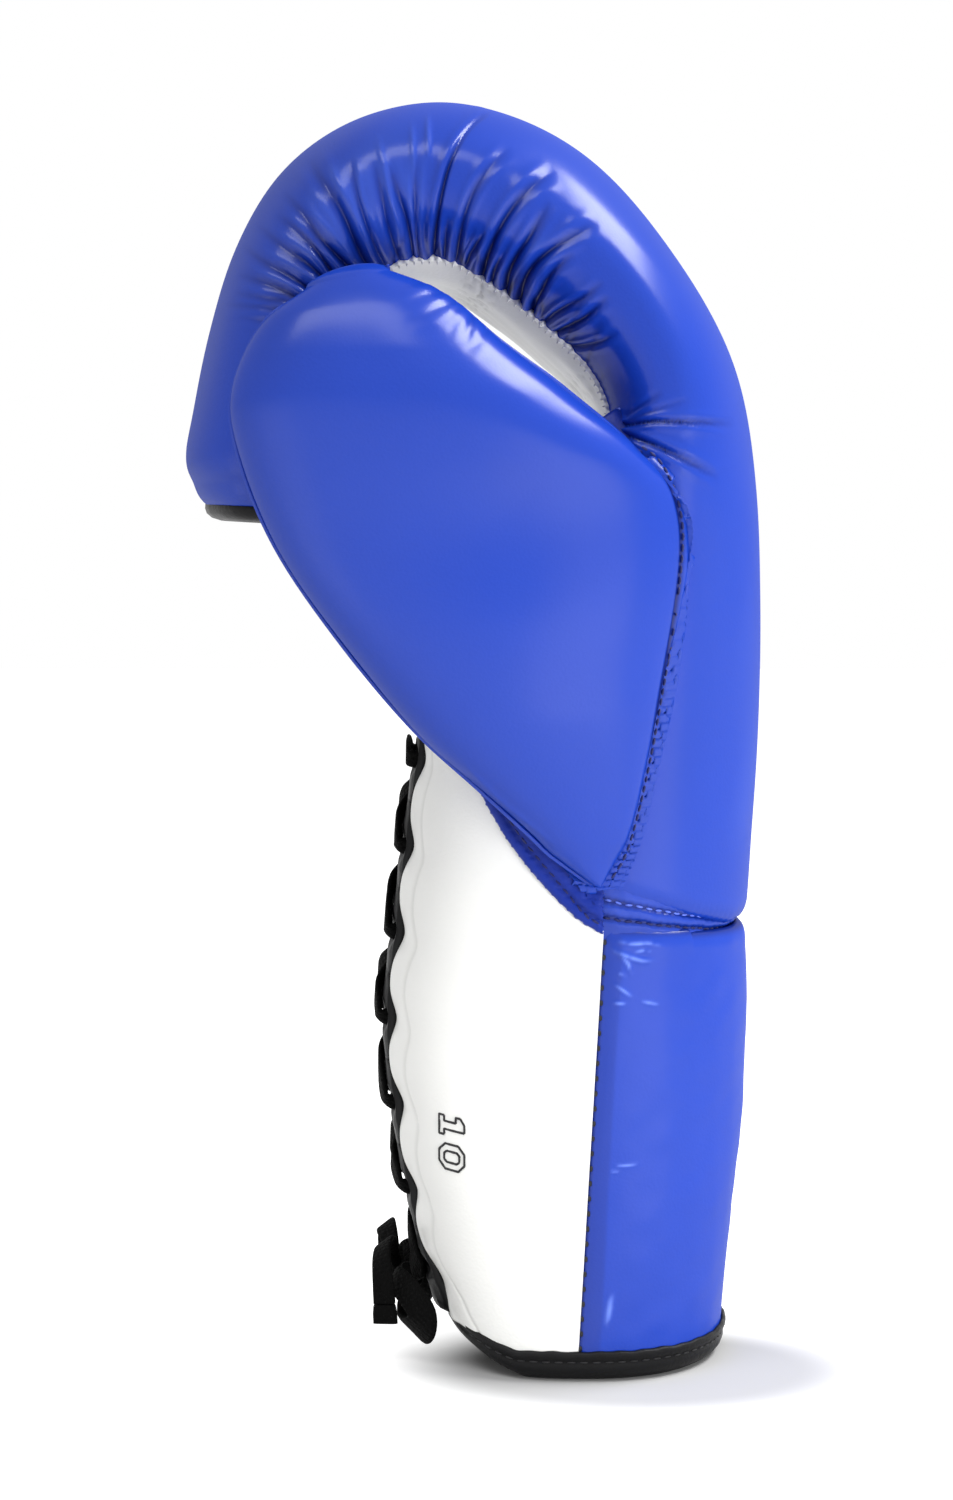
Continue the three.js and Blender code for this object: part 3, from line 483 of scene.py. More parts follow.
def finishOf(name, group, values, colours, rough, bump, folds=True, **sockets):
    # A finish from one of the groups above, with its own colours, roughness range and bump depth
    material = bpy.data.materials.new(name)
    material.use_nodes = True
    tree = material.node_tree
    shader = tree.nodes["Principled BSDF"]
    coords = addNode(tree, "TexCoord").outputs["Object"]
    texture = addNode(tree, "Group", node_tree=group)
    dyeAndShade = addNode(tree, "Group", node_tree=unevenDyeShadeAndHighlight)
    for key, value in values.items():
        texture.inputs[key].default_value = value
    for node in (texture, dyeAndShade):
        tree.links.new(coords, node.inputs["Vector"])
    for key, value in zip(("Color", "Deep Color", "Rubbed Color"), colours):
        dyeAndShade.inputs[key].default_value = value
    # The fold mask lays painted shade into creases and grooves; the rub mask lightens worn crests and lays a painted
    # highlight on wrinkle crests
    if folds:
        for key in ("Fold", "Rub"):
            mask = addNode(tree, "Attribute", attribute_name=key.lower())
            tree.links.new(mask.outputs["Fac"], dyeAndShade.inputs[key])
    tree.links.new(dyeAndShade.outputs["Color"], shader.inputs["Base Color"])
    spread = addNode(tree, "MapRange", {0: texture.outputs["Tone"], 1: 0.3, 2: 0.7, 3: rough[0], 4: rough[1]})
    tree.links.new(spread.outputs[0], shader.inputs["Roughness"])
    bumped = addNode(tree, "Bump", {"Height": texture.outputs["Height"], "Strength": bump[0], "Distance": bump[1]})
    tree.links.new(bumped.outputs[0], shader.inputs["Normal"])
    for key, value in sockets.items():
        shader.inputs[key.replace("_", " ")].default_value = value
    return material


# Each finish has its dye, a deeper tone that is also the painted shade in creases, and a rubbed tone that is also the
# painted highlight on crests
blueColours = (linear(25, 62, 174), linear(9, 20, 84), linear(110, 140, 235))
blueLeather = finishOf("blueLeather", leatherGrain, {"Pebbles": 1500, "Wrinkles": 60}, blueColours, (0.34, 0.44),
                       (0.16, 0.0004), Coat_Weight=0.2, Coat_IOR=2.2, Coat_Roughness=0.24, Specular_IOR_Level=0.0)
# A darker copy of the blue leather, as painted shade, for the web and the gussets
shadedBlueLeather = finishOf("shadedBlueLeather", leatherGrain, {"Pebbles": 1500, "Wrinkles": 140},
                           (linear(20, 46, 146), linear(6, 14, 66), linear(70, 95, 200)), (0.4, 0.55),
                           (0.3, 0.0005), Coat_Weight=0.12, Coat_Roughness=0.3, Specular_IOR_Level=0.15)
whiteLeather = finishOf("whiteLeather", leatherGrain, {"Pebbles": 1300, "Wrinkles": 45},
                        (linear(243, 243, 240), linear(176, 176, 172), linear(248, 248, 246)), (0.4, 0.52),
                        (0.22, 0.0004), Coat_Weight=0.08, Coat_Roughness=0.3)
blackLeather = finishOf("blackLeather", leatherGrain, {"Pebbles": 1200, "Wrinkles": 120},
                        (linear(17, 17, 18), linear(6, 6, 7), linear(58, 58, 61)), (0.42, 0.55), (0.3, 0.0005),
                        Specular_IOR_Level=0.16)
laceCloth = finishOf("laceCloth", weave, {"Threads": 3600},
                     (linear(7, 7, 7), linear(3, 3, 3), linear(50, 50, 52)), (0.75, 0.9), (0.6, 0.0006), folds=False,
                     Specular_IOR_Level=0.06)
liningCloth = finishOf("liningCloth", weave, {"Threads": 2600},
                       (linear(34, 34, 38), linear(14, 14, 17), linear(70, 70, 74)), (0.8, 0.95), (0.5, 0.0006), folds=False)
foamFill = finishOf("foamFill", leatherGrain, {"Pebbles": 700, "Wrinkles": 200},
                    (linear(214, 206, 184), linear(170, 160, 136), linear(230, 224, 205)), (0.85, 0.95), (0.5, 0.0008), folds=False)
blueThread = finishOf("blueThread", weave, {"Threads": 5200},
                      (linear(14, 22, 84), linear(8, 12, 50), linear(60, 80, 160)), (0.5, 0.65), (0.4, 0.0003), folds=False)
lightBlueThread = finishOf("lightBlueThread", weave, {"Threads": 5200},
                           (linear(96, 120, 225), linear(40, 60, 170), linear(150, 165, 240)), (0.4, 0.55), (0.4, 0.0003), folds=False)
paleThread = finishOf("paleThread", weave, {"Threads": 5200},
                      (linear(224, 224, 226), linear(150, 150, 156), linear(240, 240, 240)), (0.6, 0.75), (0.4, 0.0003), folds=False)
blackThread = finishOf("blackThread", weave, {"Threads": 5200},
                       (linear(24, 24, 26), linear(10, 10, 12), linear(60, 60, 62)), (0.5, 0.65), (0.4, 0.0003), folds=False)
print("glove: finishes made")


def dress(piece, finish, body=None, blend=None, stands=()):
    # The piece's finish, what it moves with and which nodes it stands for; a piece given a blend is baked in place and
    # not attached to a body
    piece.data.materials.append(finish)
    if blend:
        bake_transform(piece)
    else:
        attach(piece, body)
    if stands:
        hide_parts(*stands)
    return piece


# Where the leathers end: the wrist's two edges and the cuff's seam, in X and Z
wristSizes = {"mittZ": 117, "mittDrop": 0.31, "dropX": 31, "mittRise": 0.3, "riseX": 36, "mittSlope": 1.664, "mittTurnX": -2,
              "cuffZ": 108.7, "cuffDrop": 0.085, "cuffSlope": 1.19, "cuffTurnX": -1.5, "backX": 36}
seamSizes = {"hemX": -7, "topX": -1, "topZ": 107, "palmSeamAngle": math.pi - math.radians(38)}


def mittLowZ(x):
    level = wristSizes["mittZ"] - wristSizes["mittDrop"] * np.clip(x, 0, wristSizes["dropX"])
    level = level + wristSizes["mittRise"] * np.clip(x - wristSizes["riseX"], 0, None)
    return np.maximum(level, wristSizes["mittZ"] + (wristSizes["mittTurnX"] - x) * wristSizes["mittSlope"])


def cuffTopZ(x):
    level = wristSizes["cuffZ"] - wristSizes["cuffDrop"] * np.clip(x, 0, wristSizes["backX"])
    return np.maximum(level, wristSizes["cuffZ"] + (wristSizes["cuffTurnX"] - x) * wristSizes["cuffSlope"])


def shareAtEdge(angles, edgeZ, inset=0.0, low=0.1, high=0.72, samples=700):
    # The share at which each angle's line up the glove crosses an edge
    shares = np.linspace(low, high, samples)
    points = glovePoint(shares[:, None], np.asarray(angles)[None, :], inset)
    above = points[..., 2] - edgeZ(points[..., 0]) > 0
    return shares[above.argmax(axis=0)]


def shareAtZ(z):
    return np.interp(z, palmRail[:330, 2], np.linspace(0, 329 / 800, 330))


def seamAngle(share):
    # The angle at which the cuff's back and side panels meet
    turns = np.linspace(0.2, math.pi - 0.2, 300)
    found = []
    for one in np.atleast_1d(share):
        points = glovePoint(one, turns)
        seam = np.interp(points[:, 2], [0, seamSizes["topZ"]], [seamSizes["hemX"], seamSizes["topX"]])
        found.append(np.interp(0, (seam - points[:, 0]), turns))
    return np.array(found)


def angleAtY(share, across):
    # The angle on the palm side at which the glove is so far from its middle
    turns = np.linspace(math.pi / 2, math.pi, 300)
    found = []
    for one, y in zip(*np.broadcast_arrays(np.atleast_1d(share), across)):
        found.append(np.interp(-y, -glovePoint(one, turns)[:, 1], turns))
    return np.array(found)


def lineDistance(points, line, across=(0, 2)):
    # Distance to a line of points, seen from the side, with how far along it and on which side
    line = np.asarray(line, float)
    flat = points[..., list(across)]
    best = np.full(flat.shape[:-1], 1e9)
    run = np.zeros_like(best)
    side = np.zeros_like(best)
    done = 0.0
    for a, b in zip(line[:-1], line[1:]):
        step = b - a
        long = np.linalg.norm(step)
        share = np.clip(((flat - a) @ step) / long ** 2, 0, 1)
        off = flat - (a + share[..., None] * step)
        far = np.linalg.norm(off, axis=-1)
        closer = far < best
        best = np.where(closer, far, best)
        run = np.where(closer, done + share * long, run)
        side = np.where(closer, np.sign(off[..., 0] * step[1] - off[..., 1] * step[0]), side)
        done += long
    return best, run, side


def roll(distance, radius, depth):
    # How far an edge turns in at a distance from it
    return depth * (1 - np.sqrt(1 - (1 - np.clip(distance / radius, 0, 1)) ** 2))


# Mitt: the blue shell over back, knuckles and fingers, gathered into the palm seam
mittSizes = {"leather": 1.5, "rows": 760, "dense": 1.9, "columns": 290, "endShare": 0.982, "endRoll": 6, "edgeRoll": 5,
             "edgeDepth": 2.6}
gatherSizes = {"from": 0.5, "to": 0.955, "pitch": 3.1, "depth": 0.5, "wide": 0.6, "long": 0.2, "short": 0.1, "seed": 11}
# Lines as the photograph shows them, in its pixels. Folds run from their foot at the seam, with a depth and a width in mm.
foldLines = [
    (1.5, 1.2, [(455, 262), (457, 248), (462, 222), (473, 191), (490, 165), (511, 146)]),
    (2.3, 1.5, [(481, 277), (486, 258), (495, 236), (511, 209), (533, 183), (556, 170)]),
    (2.3, 1.3, [(503, 298), (506, 276), (516, 256), (529, 238), (540, 219), (550, 201)]),
    (2.3, 1.5, [(517, 308), (519, 290), (524, 278), (536, 261), (556, 246), (581, 231), (599, 222)]),
    (2.0, 1.2, [(529, 320), (533, 306), (540, 292), (548, 277), (559, 264), (574, 253)]),
    (1.5, 1.1, [(541, 326), (553, 315), (566, 307), (584, 297), (603, 282)]),
    (1.9, 1.1, [(550, 336), (563, 330), (581, 321), (594, 310), (608, 296)]),
    (1.3, 1.0, [(563, 348), (581, 347), (599, 343), (619, 332)]),
    (1.4, 0.8, [(466, 266), (469, 256), (476, 245), (486, 231)]),
    (1.5, 0.8, [(490, 286), (493, 272), (501, 256)]),
    (1.8, 0.9, [(529, 320), (531, 306), (534, 294)]),
    (1.2, 0.8, [(444, 258), (445, 238), (448, 215)]),
    (1.2, 0.9, [(420, 264), (417, 245), (415, 215), (415, 183), (417, 150)]),
    (1.7, 1.2, [(414, 264), (412, 246), (406, 216), (399, 196), (388, 164)]),
    (1.4, 1.2, [(402, 266), (394, 247), (387, 222), (381, 193), (373, 160)]),
    (1.3, 1.2, [(390, 274), (378, 254), (369, 232), (361, 210), (355, 183), (350, 158)]),
    (2.6, 1.8, [(384, 286), (366, 264), (353, 236), (341, 209), (326, 186), (307, 158)]),
    (2.0, 1.4, [(374, 292), (350, 268), (336, 254), (319, 238), (303, 213), (282, 191)]),
    (2.0, 1.3, [(364, 304), (341, 283), (327, 265), (311, 243), (296, 230), (274, 213)]),
    (1.8, 1.3, [(358, 312), (336, 290), (312, 266), (291, 253), (273, 240), (256, 224)]),
    (1.9, 1.3, [(350, 324), (323, 300), (300, 281), (278, 270), (256, 258), (242, 245)]),
    (2.0, 1.4, [(344, 336), (316, 310), (296, 297), (283, 291), (263, 282), (236, 275)]),
    (1.3, 1.2, [(338, 350), (310, 318), (290, 301), (266, 299), (231, 293)]),
    (1.1, 1.2, [(336, 362), (300, 320), (275, 308), (255, 307), (222, 305)]),
    (0.9, 1.1, [(332, 378), (290, 330), (262, 321), (233, 317)]),
]
ridgeLines = [(0.55, 0.9, [(402, 240), (391, 200), (379, 141)]), (0.5, 0.8, [(372, 226), (360, 193), (358, 160)]),
              (0.4, 0.7, [(415, 190), (412, 125)]), (0.4, 0.7, [(428, 160), (428, 116)]),
              (0.5, 0.9, [(349, 208), (333, 171)]), (0.5, 0.8, [(352, 258), (330, 230), (312, 212)]),
              (0.5, 0.8, [(328, 268), (303, 243)]), (0.5, 0.8, [(314, 288), (286, 271)])]
dartLine = [(433, 258), (434, 240), (438, 212), (443, 186), (450, 160), (462, 136), (474, 121), (490, 112)]
creaseLines = [(2.0, 1.0, [(622, 426), (650, 421), (690, 422), (737, 425)]), (2.4, 1.1, [(622, 434), (655, 445), (690, 462), (720, 479)]),
               (1.1, 0.9, [(624, 438), (633, 447), (642, 460)]), (0.8, 0.9, [(626, 416), (645, 403), (662, 391)]),
               (0.7, 0.9, [(630, 420), (660, 408), (690, 400)])]
thumbSeamLine = [(640, 446), (655, 452), (668, 472), (679, 500), (684, 530), (682, 560), (678, 600), (672, 640), (663, 690),
                 (654, 742), (645, 785), (637, 820), (625, 860), (606, 886)]


def nearLine(spots, marks, margin=45, count=20):
    # Which points lie near a line in the photograph, with their distance in mm, the share of its run and the side
    line = smoothLine(marks, count)
    low, high = np.min(line, axis=0) - margin, np.max(line, axis=0) + margin
    near = np.all((spots > low) & (spots < high), axis=-1)
    far, run, side = lineDistance(spots[near], line, (0, 1))
    total = np.linalg.norm(np.diff(line, axis=0), axis=1).sum()
    return near, far * photoSize["mmPerPixel"], run / total, side


def foldIn(spots, height, mask, lines, even=1.0):
    # Sharp valleys with rounded shoulders along lines, wider and shallower towards their tips, with painted shade in
    # the valleys
    for deep, wide, marks in lines:
        near, far, share, _ = nearLine(spots, marks)
        off = far / (0.56 * wide * (0.8 + 0.7 * share))
        fade = (1 - share ** 3) * even
        height[near] += 0.55 * deep * fade * (0.48 * np.exp(-((off - 2.3) / 1.2) ** 2) - np.exp(-off ** 1.25))
        mask[near] = np.maximum(mask[near], np.clip(deep / 2.2, 0, 0.9) * fade * np.exp(-(off * 1.2) ** 2))


def raiseAlong(spots, height, lines, rub=None):
    # Rounded ridges that fade out at both ends, with a painted highlight on their crests where a mask is given
    for high, wide, marks in lines:
        near, far, share, _ = nearLine(spots, marks)
        ridge = np.sin(np.pi * np.clip(share, 0.02, 0.98)) ** 0.7 * np.exp(-(far / wide) ** 2)
        height[near] += high * ridge
        if rub is not None:
            rub[near] = np.maximum(rub[near], ridge ** 2)


def smoothLine(points, count=90):
    # A smooth line through a few points in X and Z
    points = np.asarray(points, float)
    run = np.concatenate([[0], np.cumsum(np.linalg.norm(np.diff(points, axis=0), axis=1))])
    at = np.linspace(0, run[-1], count)
    line = np.stack([np.interp(at, run, points[:, k]) for k in range(points.shape[1])], axis=1)
    for _ in range(count // 6):
        line[1:-1] = line[1:-1] * 0.5 + (line[:-2] + line[2:]) * 0.25
    return line


def rowSteps(rows, dense):
    # Shares of the way from the wrist to the finger end, closer together where the folds are
    even = np.linspace(0, 1, 400)
    weight = 1 + (dense - 1) * rise(even, 0.24, 0.32) * (1 - rise(even, 0.93, 0.98))
    filled = np.concatenate([[0], np.cumsum((weight[1:] + weight[:-1]) / 2)])
    return np.interp(np.linspace(0, 1, rows), filled / filled[-1], even)


def mittGrid(angles, rows, inset=0.0, lift=0.0):
    # A grid on the mitt from the wrist to past the finger end, where it rolls in
    starts = shareAtEdge(angles, lambda x: mittLowZ(x) + lift)
    last = 1.018
    wanted = starts[None] + (last - starts[None]) * rowSteps(rows, mittSizes["dense"])[:, None]
    end = mittSizes["endShare"]
    past = np.clip((wanted - end) / (last - end), 0, 1) * math.radians(80)
    rolled = mittSizes["endRoll"] * (1 - np.cos(past))
    points = glovePoint(np.minimum(wanted, end), angles[None], inset + rolled)
    points[..., 2] -= mittSizes["endRoll"] * np.sin(past)
    first = int(rows * 0.9)
    for _ in range(60):
        points[first:-1] = points[first:-1] * 0.5 + (points[first - 1:-2] + points[first + 1:]) * 0.25
    return points, np.minimum(wanted, end)


def gathers(shares, angles, seam, seed):
    # Height and painted-shade mask of the short folds that fan out from the palm seam, between the long ones
    dice = random.Random(seed)
    sizes = gatherSizes
    seamShares = np.linspace(0.4, 1, 500)
    seamPoints = glovePoint(seamShares, seam)
    run = np.concatenate([[0], np.cumsum(np.linalg.norm(np.diff(seamPoints, axis=0), axis=1))])
    at = np.interp(shares, seamShares, run)
    away = (abs(seam) - np.abs(angles)) / abs(seam)
    first, last = np.interp([sizes["from"], sizes["to"]], seamShares, run)
    height, mask = np.zeros(shares.shape), np.zeros(shares.shape)
    spot, turn = first, 0
    while spot < last:
        turn += 1
        extent = (sizes["long"] if turn % 2 == 0 else sizes["short"]) * dice.uniform(0.72, 1.25)
        deep = sizes["depth"] * dice.uniform(0.65, 1.2)
        lean, bow = dice.uniform(-9, 9), dice.uniform(-5, 5)
        wide = sizes["wide"] * dice.uniform(0.75, 1.3)
        course = spot + lean * away + bow * np.sin(away * 7 + turn)
        reachShare = np.clip(away / extent, 0, 1.4)
        fade = np.clip(1 - reachShare, 0, 1) ** 0.8
        off = np.abs(at - course) / (wide * (1 + 1.2 * reachShare))
        height -= deep * fade * np.exp(-off ** 1.35)
        mask += fade * np.exp(-(off * 1.35) ** 2) * 0.6
        spot += sizes["pitch"] * dice.uniform(0.75, 1.3)
    inside = rise(at, first - 8, first + 6) * (1 - rise(at, last - 6, last + 10))
    return height * inside, np.clip(mask, 0, 1) * inside


mittAngles = np.linspace(-seamSizes["palmSeamAngle"], seamSizes["palmSeamAngle"], mittSizes["columns"])
mittBase, mittShares = mittGrid(mittAngles, mittSizes["rows"])
thumbSide = np.broadcast_to((mittAngles < 0)[None], mittShares.shape)
folds = [gathers(mittShares, np.broadcast_to(mittAngles[None], mittShares.shape), side * seamSizes["palmSeamAngle"],
                 gatherSizes["seed"] + side) for side in (-1, 1)]
mittHeight = np.where(thumbSide, folds[0][0], folds[1][0])
mittFoldShade = np.where(thumbSide, folds[0][1], folds[1][1])
mirrored = mittBase * np.array([1, -1, 1])
mittSpots = photoSpot(np.where(thumbSide[..., None], mittBase, mirrored))
foldIn(mittSpots, mittHeight, mittFoldShade, foldLines)
raiseAlong(mittSpots, mittHeight, ridgeLines)
fromWrist, fromEnd, fromSeam, toSeam = edgeDistances(mittBase)
nearSeam = np.minimum(fromSeam, toSeam)
mittHeight *= 0.3 + 0.7 * rise(nearSeam, 0.4, 4)
mittHeight -= roll(nearSeam, 2, 0.5) + roll(fromWrist, mittSizes["edgeRoll"], mittSizes["edgeDepth"])
mittHeight += 0.35 * softNoise(mittBase, 46, 3) * rise(fromWrist, 4, 30)
mittRub = 0.1 * rise(mittHeight, 0.1, 0.7)

# Dart on both sides, and the creases and the seam beside the thumb, with painted shade in the dart's groove and in the
# creases
near, far, share, side = nearLine(mittSpots, dartLine)
ending = 1 - 0.7 * rise(share, 0.5, 0.85) - 0.3 * rise(share, 0.93, 1)
mittHeight[near] += ending * (-0.9 * np.exp(-(far / 0.5) ** 2) + 0.7 * (side > 0) * np.exp(-((far - 1.5) / 1.2) ** 2))
mittFoldShade[near] = np.maximum(mittFoldShade[near], 0.8 * ending * np.exp(-(far / 0.65) ** 2))
foldIn(mittSpots, mittHeight, mittFoldShade, creaseLines, 0.9)
near, far, share, side = nearLine(mittSpots, thumbSeamLine, count=40)
seamGroove = np.exp(-(far / 1.1) ** 2) * thumbSide[near]
mittHeight[near] -= 0.3 * seamGroove
mittShell, mittOuter = addShell("mittShell", mittBase, mittHeight, mittSizes["leather"], {"fold": mittFoldShade, "rub": mittRub})
dress(mittShell, blueLeather, body="mitt", stands=["main_face_leather"])
print("glove: mitt shell made")

# White leather on the inside of the curl, laid over the blue edge and overcast along both seams
palmSizes = {"rows": 620, "columns": 64, "over": 0.03, "proud": 0.4, "below": 1.0, "bulge": 2.0, "tooth": 1.9, "toothLong": 2.0,
             "toothThick": 0.27, "leather": 1.4}
palmAngles = np.linspace(seamSizes["palmSeamAngle"] - palmSizes["over"],
                         2 * math.pi - seamSizes["palmSeamAngle"] + palmSizes["over"], palmSizes["columns"])
palmBase, palmShares = mittGrid(palmAngles, palmSizes["rows"], lift=1.5)
fromWrist, fromEnd, fromSeam, toSeam = edgeDistances(palmBase)
nearSeam = np.minimum(fromSeam, toSeam)
scallop = 0.5 + 0.5 * np.cos(np.where(fromSeam < toSeam, fromWrist[:, :1], fromWrist[:, -1:]) * 2 * math.pi / palmSizes["tooth"])
for edge, inner in ((0, 6), (-1, -7)):
    outwards = unit(palmBase[:, edge] - palmBase[:, inner])
    fade = np.exp(-(fromSeam if edge == 0 else toSeam) / 1.1) * (scallop - 0.4) * 0.55
    palmBase = palmBase + outwards[:, None] * fade[..., None]
palmHeight = mix(palmSizes["proud"], -palmSizes["below"], rise(nearSeam, 0.9, 3.4)) + 0.2 * softNoise(palmBase, 17, 5)
curl = rise(palmShares, 0.44, 0.54) * (1 - rise(palmShares, 0.9, 0.97))
palmHeight += palmSizes["bulge"] * curl * rise(nearSeam, 3, 15)
palmHeight += 0.16 * (scallop - 0.5) * np.exp(-nearSeam / 2)
palmSpots = photoSpot(palmBase)
# Painted shade along a line just inside each seam and in the creases of two patches
palmFold = 0.25 * np.exp(-((nearSeam - 1.9) / 0.6) ** 2)
for middle, wide in (((480, 292), 18), ((578, 388), 16)):
    window = np.exp(-(np.linalg.norm(palmSpots - np.array(middle), axis=-1) / wide) ** 2)
    creased = np.abs(softNoise(palmBase, 5.5, 33, 5))
    palmHeight -= 0.45 * window * np.exp(-(creased / 0.22) ** 2)
    palmFold = np.maximum(palmFold, 0.5 * window * np.exp(-(creased / 0.2) ** 2))
palmShell, palmOuter = addShell("palmShell", palmBase, palmHeight, palmSizes["leather"], {"fold": palmFold, "rub": 0 * palmFold})
dress(palmShell, whiteLeather, body="mitt", stands=["palm_leather"])
teeth = []
for edge, inner, fromSide in ((1, 6, fromWrist[:, 0]), (-2, -7, fromWrist[:, -1])):
    for number in range(4, int(fromSide[-1] / palmSizes["tooth"]) - 3):
        row = int(np.abs(fromSide - number * palmSizes["tooth"]).argmin())
        spot, inwards = palmOuter[row, edge], unit(palmOuter[row, inner] - palmOuter[row, edge])
        up = unit(np.cross(palmOuter[row + 1, edge] - palmOuter[row - 1, edge], inwards)) * (1 if edge > 0 else -1)
        arc = np.linspace(-0.5, 0.5, 6)[:, None]
        path = spot + inwards * (arc + 0.12) * palmSizes["toothLong"] - up * (0.7 * arc ** 2 * 4 - 0.3)
        teeth.append(ringsMesh(tubeAlong(path, palmSizes["toothThick"] * np.array([0.5, 0.9, 1, 1, 0.9, 0.5]), 6)))
overcast = addMesh("palmOvercast", *joinMeshes(teeth))
dress(overcast, paleThread, body="mitt")
print("glove: palm leather and its overcast seams made")

# Black panel that closes the finger end
endAngles = np.linspace(0, 2 * math.pi, 120, endpoint=False)
endRings = []
for inset, drop in [(2.6, 4.4), (2.5, 5.6), (2.9, 6.8), (4.2, 7.8), (6.5, 8.4), (9.5, 8.4), (11.2, 7.6), (11.6, 5.8), (11.0, 4.4)]:
    ring = glovePoint(np.float64(mittSizes["endShare"]), endAngles, inset)
    ring[..., 2] -= drop
    endRings.append(ring)
outerEnd = np.array(endRings)
cap = outerEnd[-1].mean(axis=0)
inward = [mix(outerEnd[-1], cap, share) for share in (0.25, 0.5, 0.75, 0.97)]
endPanel, _ = addShell("fingerEndPanel", np.array([*endRings, *inward]), 0, 1.2, {"fold": 0, "rub": 0}, wrap=True)
dress(endPanel, blackLeather, body="mitt", stands=["finger_end_panel"])


# Thumb: one large outer panel that runs into the back of the mitt, and an inner panel behind it
thumbSizes = {"leather": 1.5, "rows": 300, "columns": 170, "merge": 7, "proud": 0.5, "rimLift": 3.3, "cornerDrop": 2,
              "foot": (604, 888), "seamShift": 4.1, "edgeSeam": 0.6, "tipDome": 4, "tipRows": 12}
thumbFoldLines = [(0.35, 1.5, [(472, 317), (469, 330), (466, 346)]), (0.2, 1.4, [(456, 303), (440, 308), (420, 318), (404, 322)]),
                  (0.18, 1.4, [(442, 293), (425, 296), (405, 302)]), (0.14, 1.3, [(425, 284), (410, 287), (392, 288)]),
                  (0.2, 1.1, [(459, 310), (449, 312)]), (0.18, 1.4, [(487, 332), (476, 345), (463, 352)])]
thumbRidgeLines = [(0.1, 1.4, [(380, 277), (398, 275), (414, 276)]), (0.1, 1.4, [(432, 288), (415, 291), (401, 297)]),
                   (0.1, 1.5, [(452, 330), (432, 322), (420, 312)]), (0.4, 0.7, [(466, 764), (500, 800), (552, 843)])]


def smoothMax(a, b, soft):
    share = np.clip(0.5 + 0.5 * (a - b) / soft, 0, 1)
    return mix(b, a, share) + soft * share * (1 - share)


def closeTip(grid):
    # More rows past the tip, drawn together to the line on which both panels meet there
    last = grid[-1]
    chord = last[-1] - last[0]
    t = np.clip((last - last[0]) @ chord / (chord @ chord), 0, 1)[:, None]
    middle = mix(last[0], last[-1], t)
    ahead = unit(grid[-1].mean(axis=0) - grid[-8].mean(axis=0))
    dome = thumbSizes["tipDome"] * np.sqrt(1 - (2 * t - 1) ** 2)
    steps = np.linspace(0, 1, thumbSizes["tipRows"] + 1)[1:]
    return np.concatenate([grid, [mix(last, middle, 1 - math.cos(s * math.pi / 2)) + ahead * dome * math.sin(s * math.pi / 2)
                                  for s in steps]])


thumbShares = np.linspace(0, 1, thumbSizes["rows"])
outAngles = np.linspace(math.pi, 0, thumbSizes["columns"])
outBase = thumbPoint(thumbShares[:, None], outAngles[None])
depthThere = mittDepth(outBase[..., 0], outBase[..., 2])
attached = (1 - rise(thumbShares, 0.5, 0.62))[:, None] * (0.5 + 0.5 * np.cos(np.clip(outAngles, 0, math.pi)))[None] ** 0.35
merged = smoothMax(-outBase[..., 1], depthThere + thumbSizes["proud"], thumbSizes["merge"])
outBase[..., 1] = -mix(-outBase[..., 1], merged, np.clip(attached * 1.3, 0, 1))
fromBase, fromTip, fromLower, fromUpper = edgeDistances(outBase)
liftWay = unit(np.stack([0.6 * (1 - rise(thumbShares, 0.88, 0.98)), 0 * thumbShares, 0.8 + 0 * thumbShares], axis=1))
liftReach = (13 + 26 * rise(thumbShares, 0.88, 1))[:, None]
rimLift = thumbSizes["rimLift"] * rise(thumbShares, 0.56, 0.74)[:, None] * np.exp(-fromUpper / liftReach)
rimLift -= thumbSizes["cornerDrop"] * rise(thumbShares, 0.88, 1)[:, None] * np.exp(-fromLower / 9)
outBase += liftWay[:, None] * rimLift[..., None]
shift = thumbSizes["seamShift"] * (1 - rise(thumbShares, 0.3, 0.46))[:, None] * np.exp(-fromUpper / 10)
foot = photoPoint(thumbSizes["foot"], -47)
pinch = (1 - rise(thumbShares, -0.03, 0.1))[:, None]
outBase[..., 0] = mix(outBase[..., 0] - shift, foot[0], pinch)
outBase[..., 2] = mix(outBase[..., 2], foot[2], pinch * (1 - thumbShares[:, None] * 10).clip(0, 1))
outBase = closeTip(outBase)
fromBase, fromTip, fromLower, fromUpper = edgeDistances(outBase)
outHeight = 0.3 * softNoise(outBase, 60, 8)
upperDepth = 1 + 2.2 * (1 - rise(thumbShares, 0.36, 0.44))
upperDepth = np.concatenate([upperDepth, np.ones(thumbSizes["tipRows"])])
sunkAtTip = roll(np.minimum(fromTip, fromLower), 3.0, 1.0)
outHeight -= np.maximum(roll(fromUpper, 4.2, 1.0) * upperDepth[:, None], sunkAtTip)
outSpots = photoSpot(outBase)
outFoldShade = np.zeros(outHeight.shape)
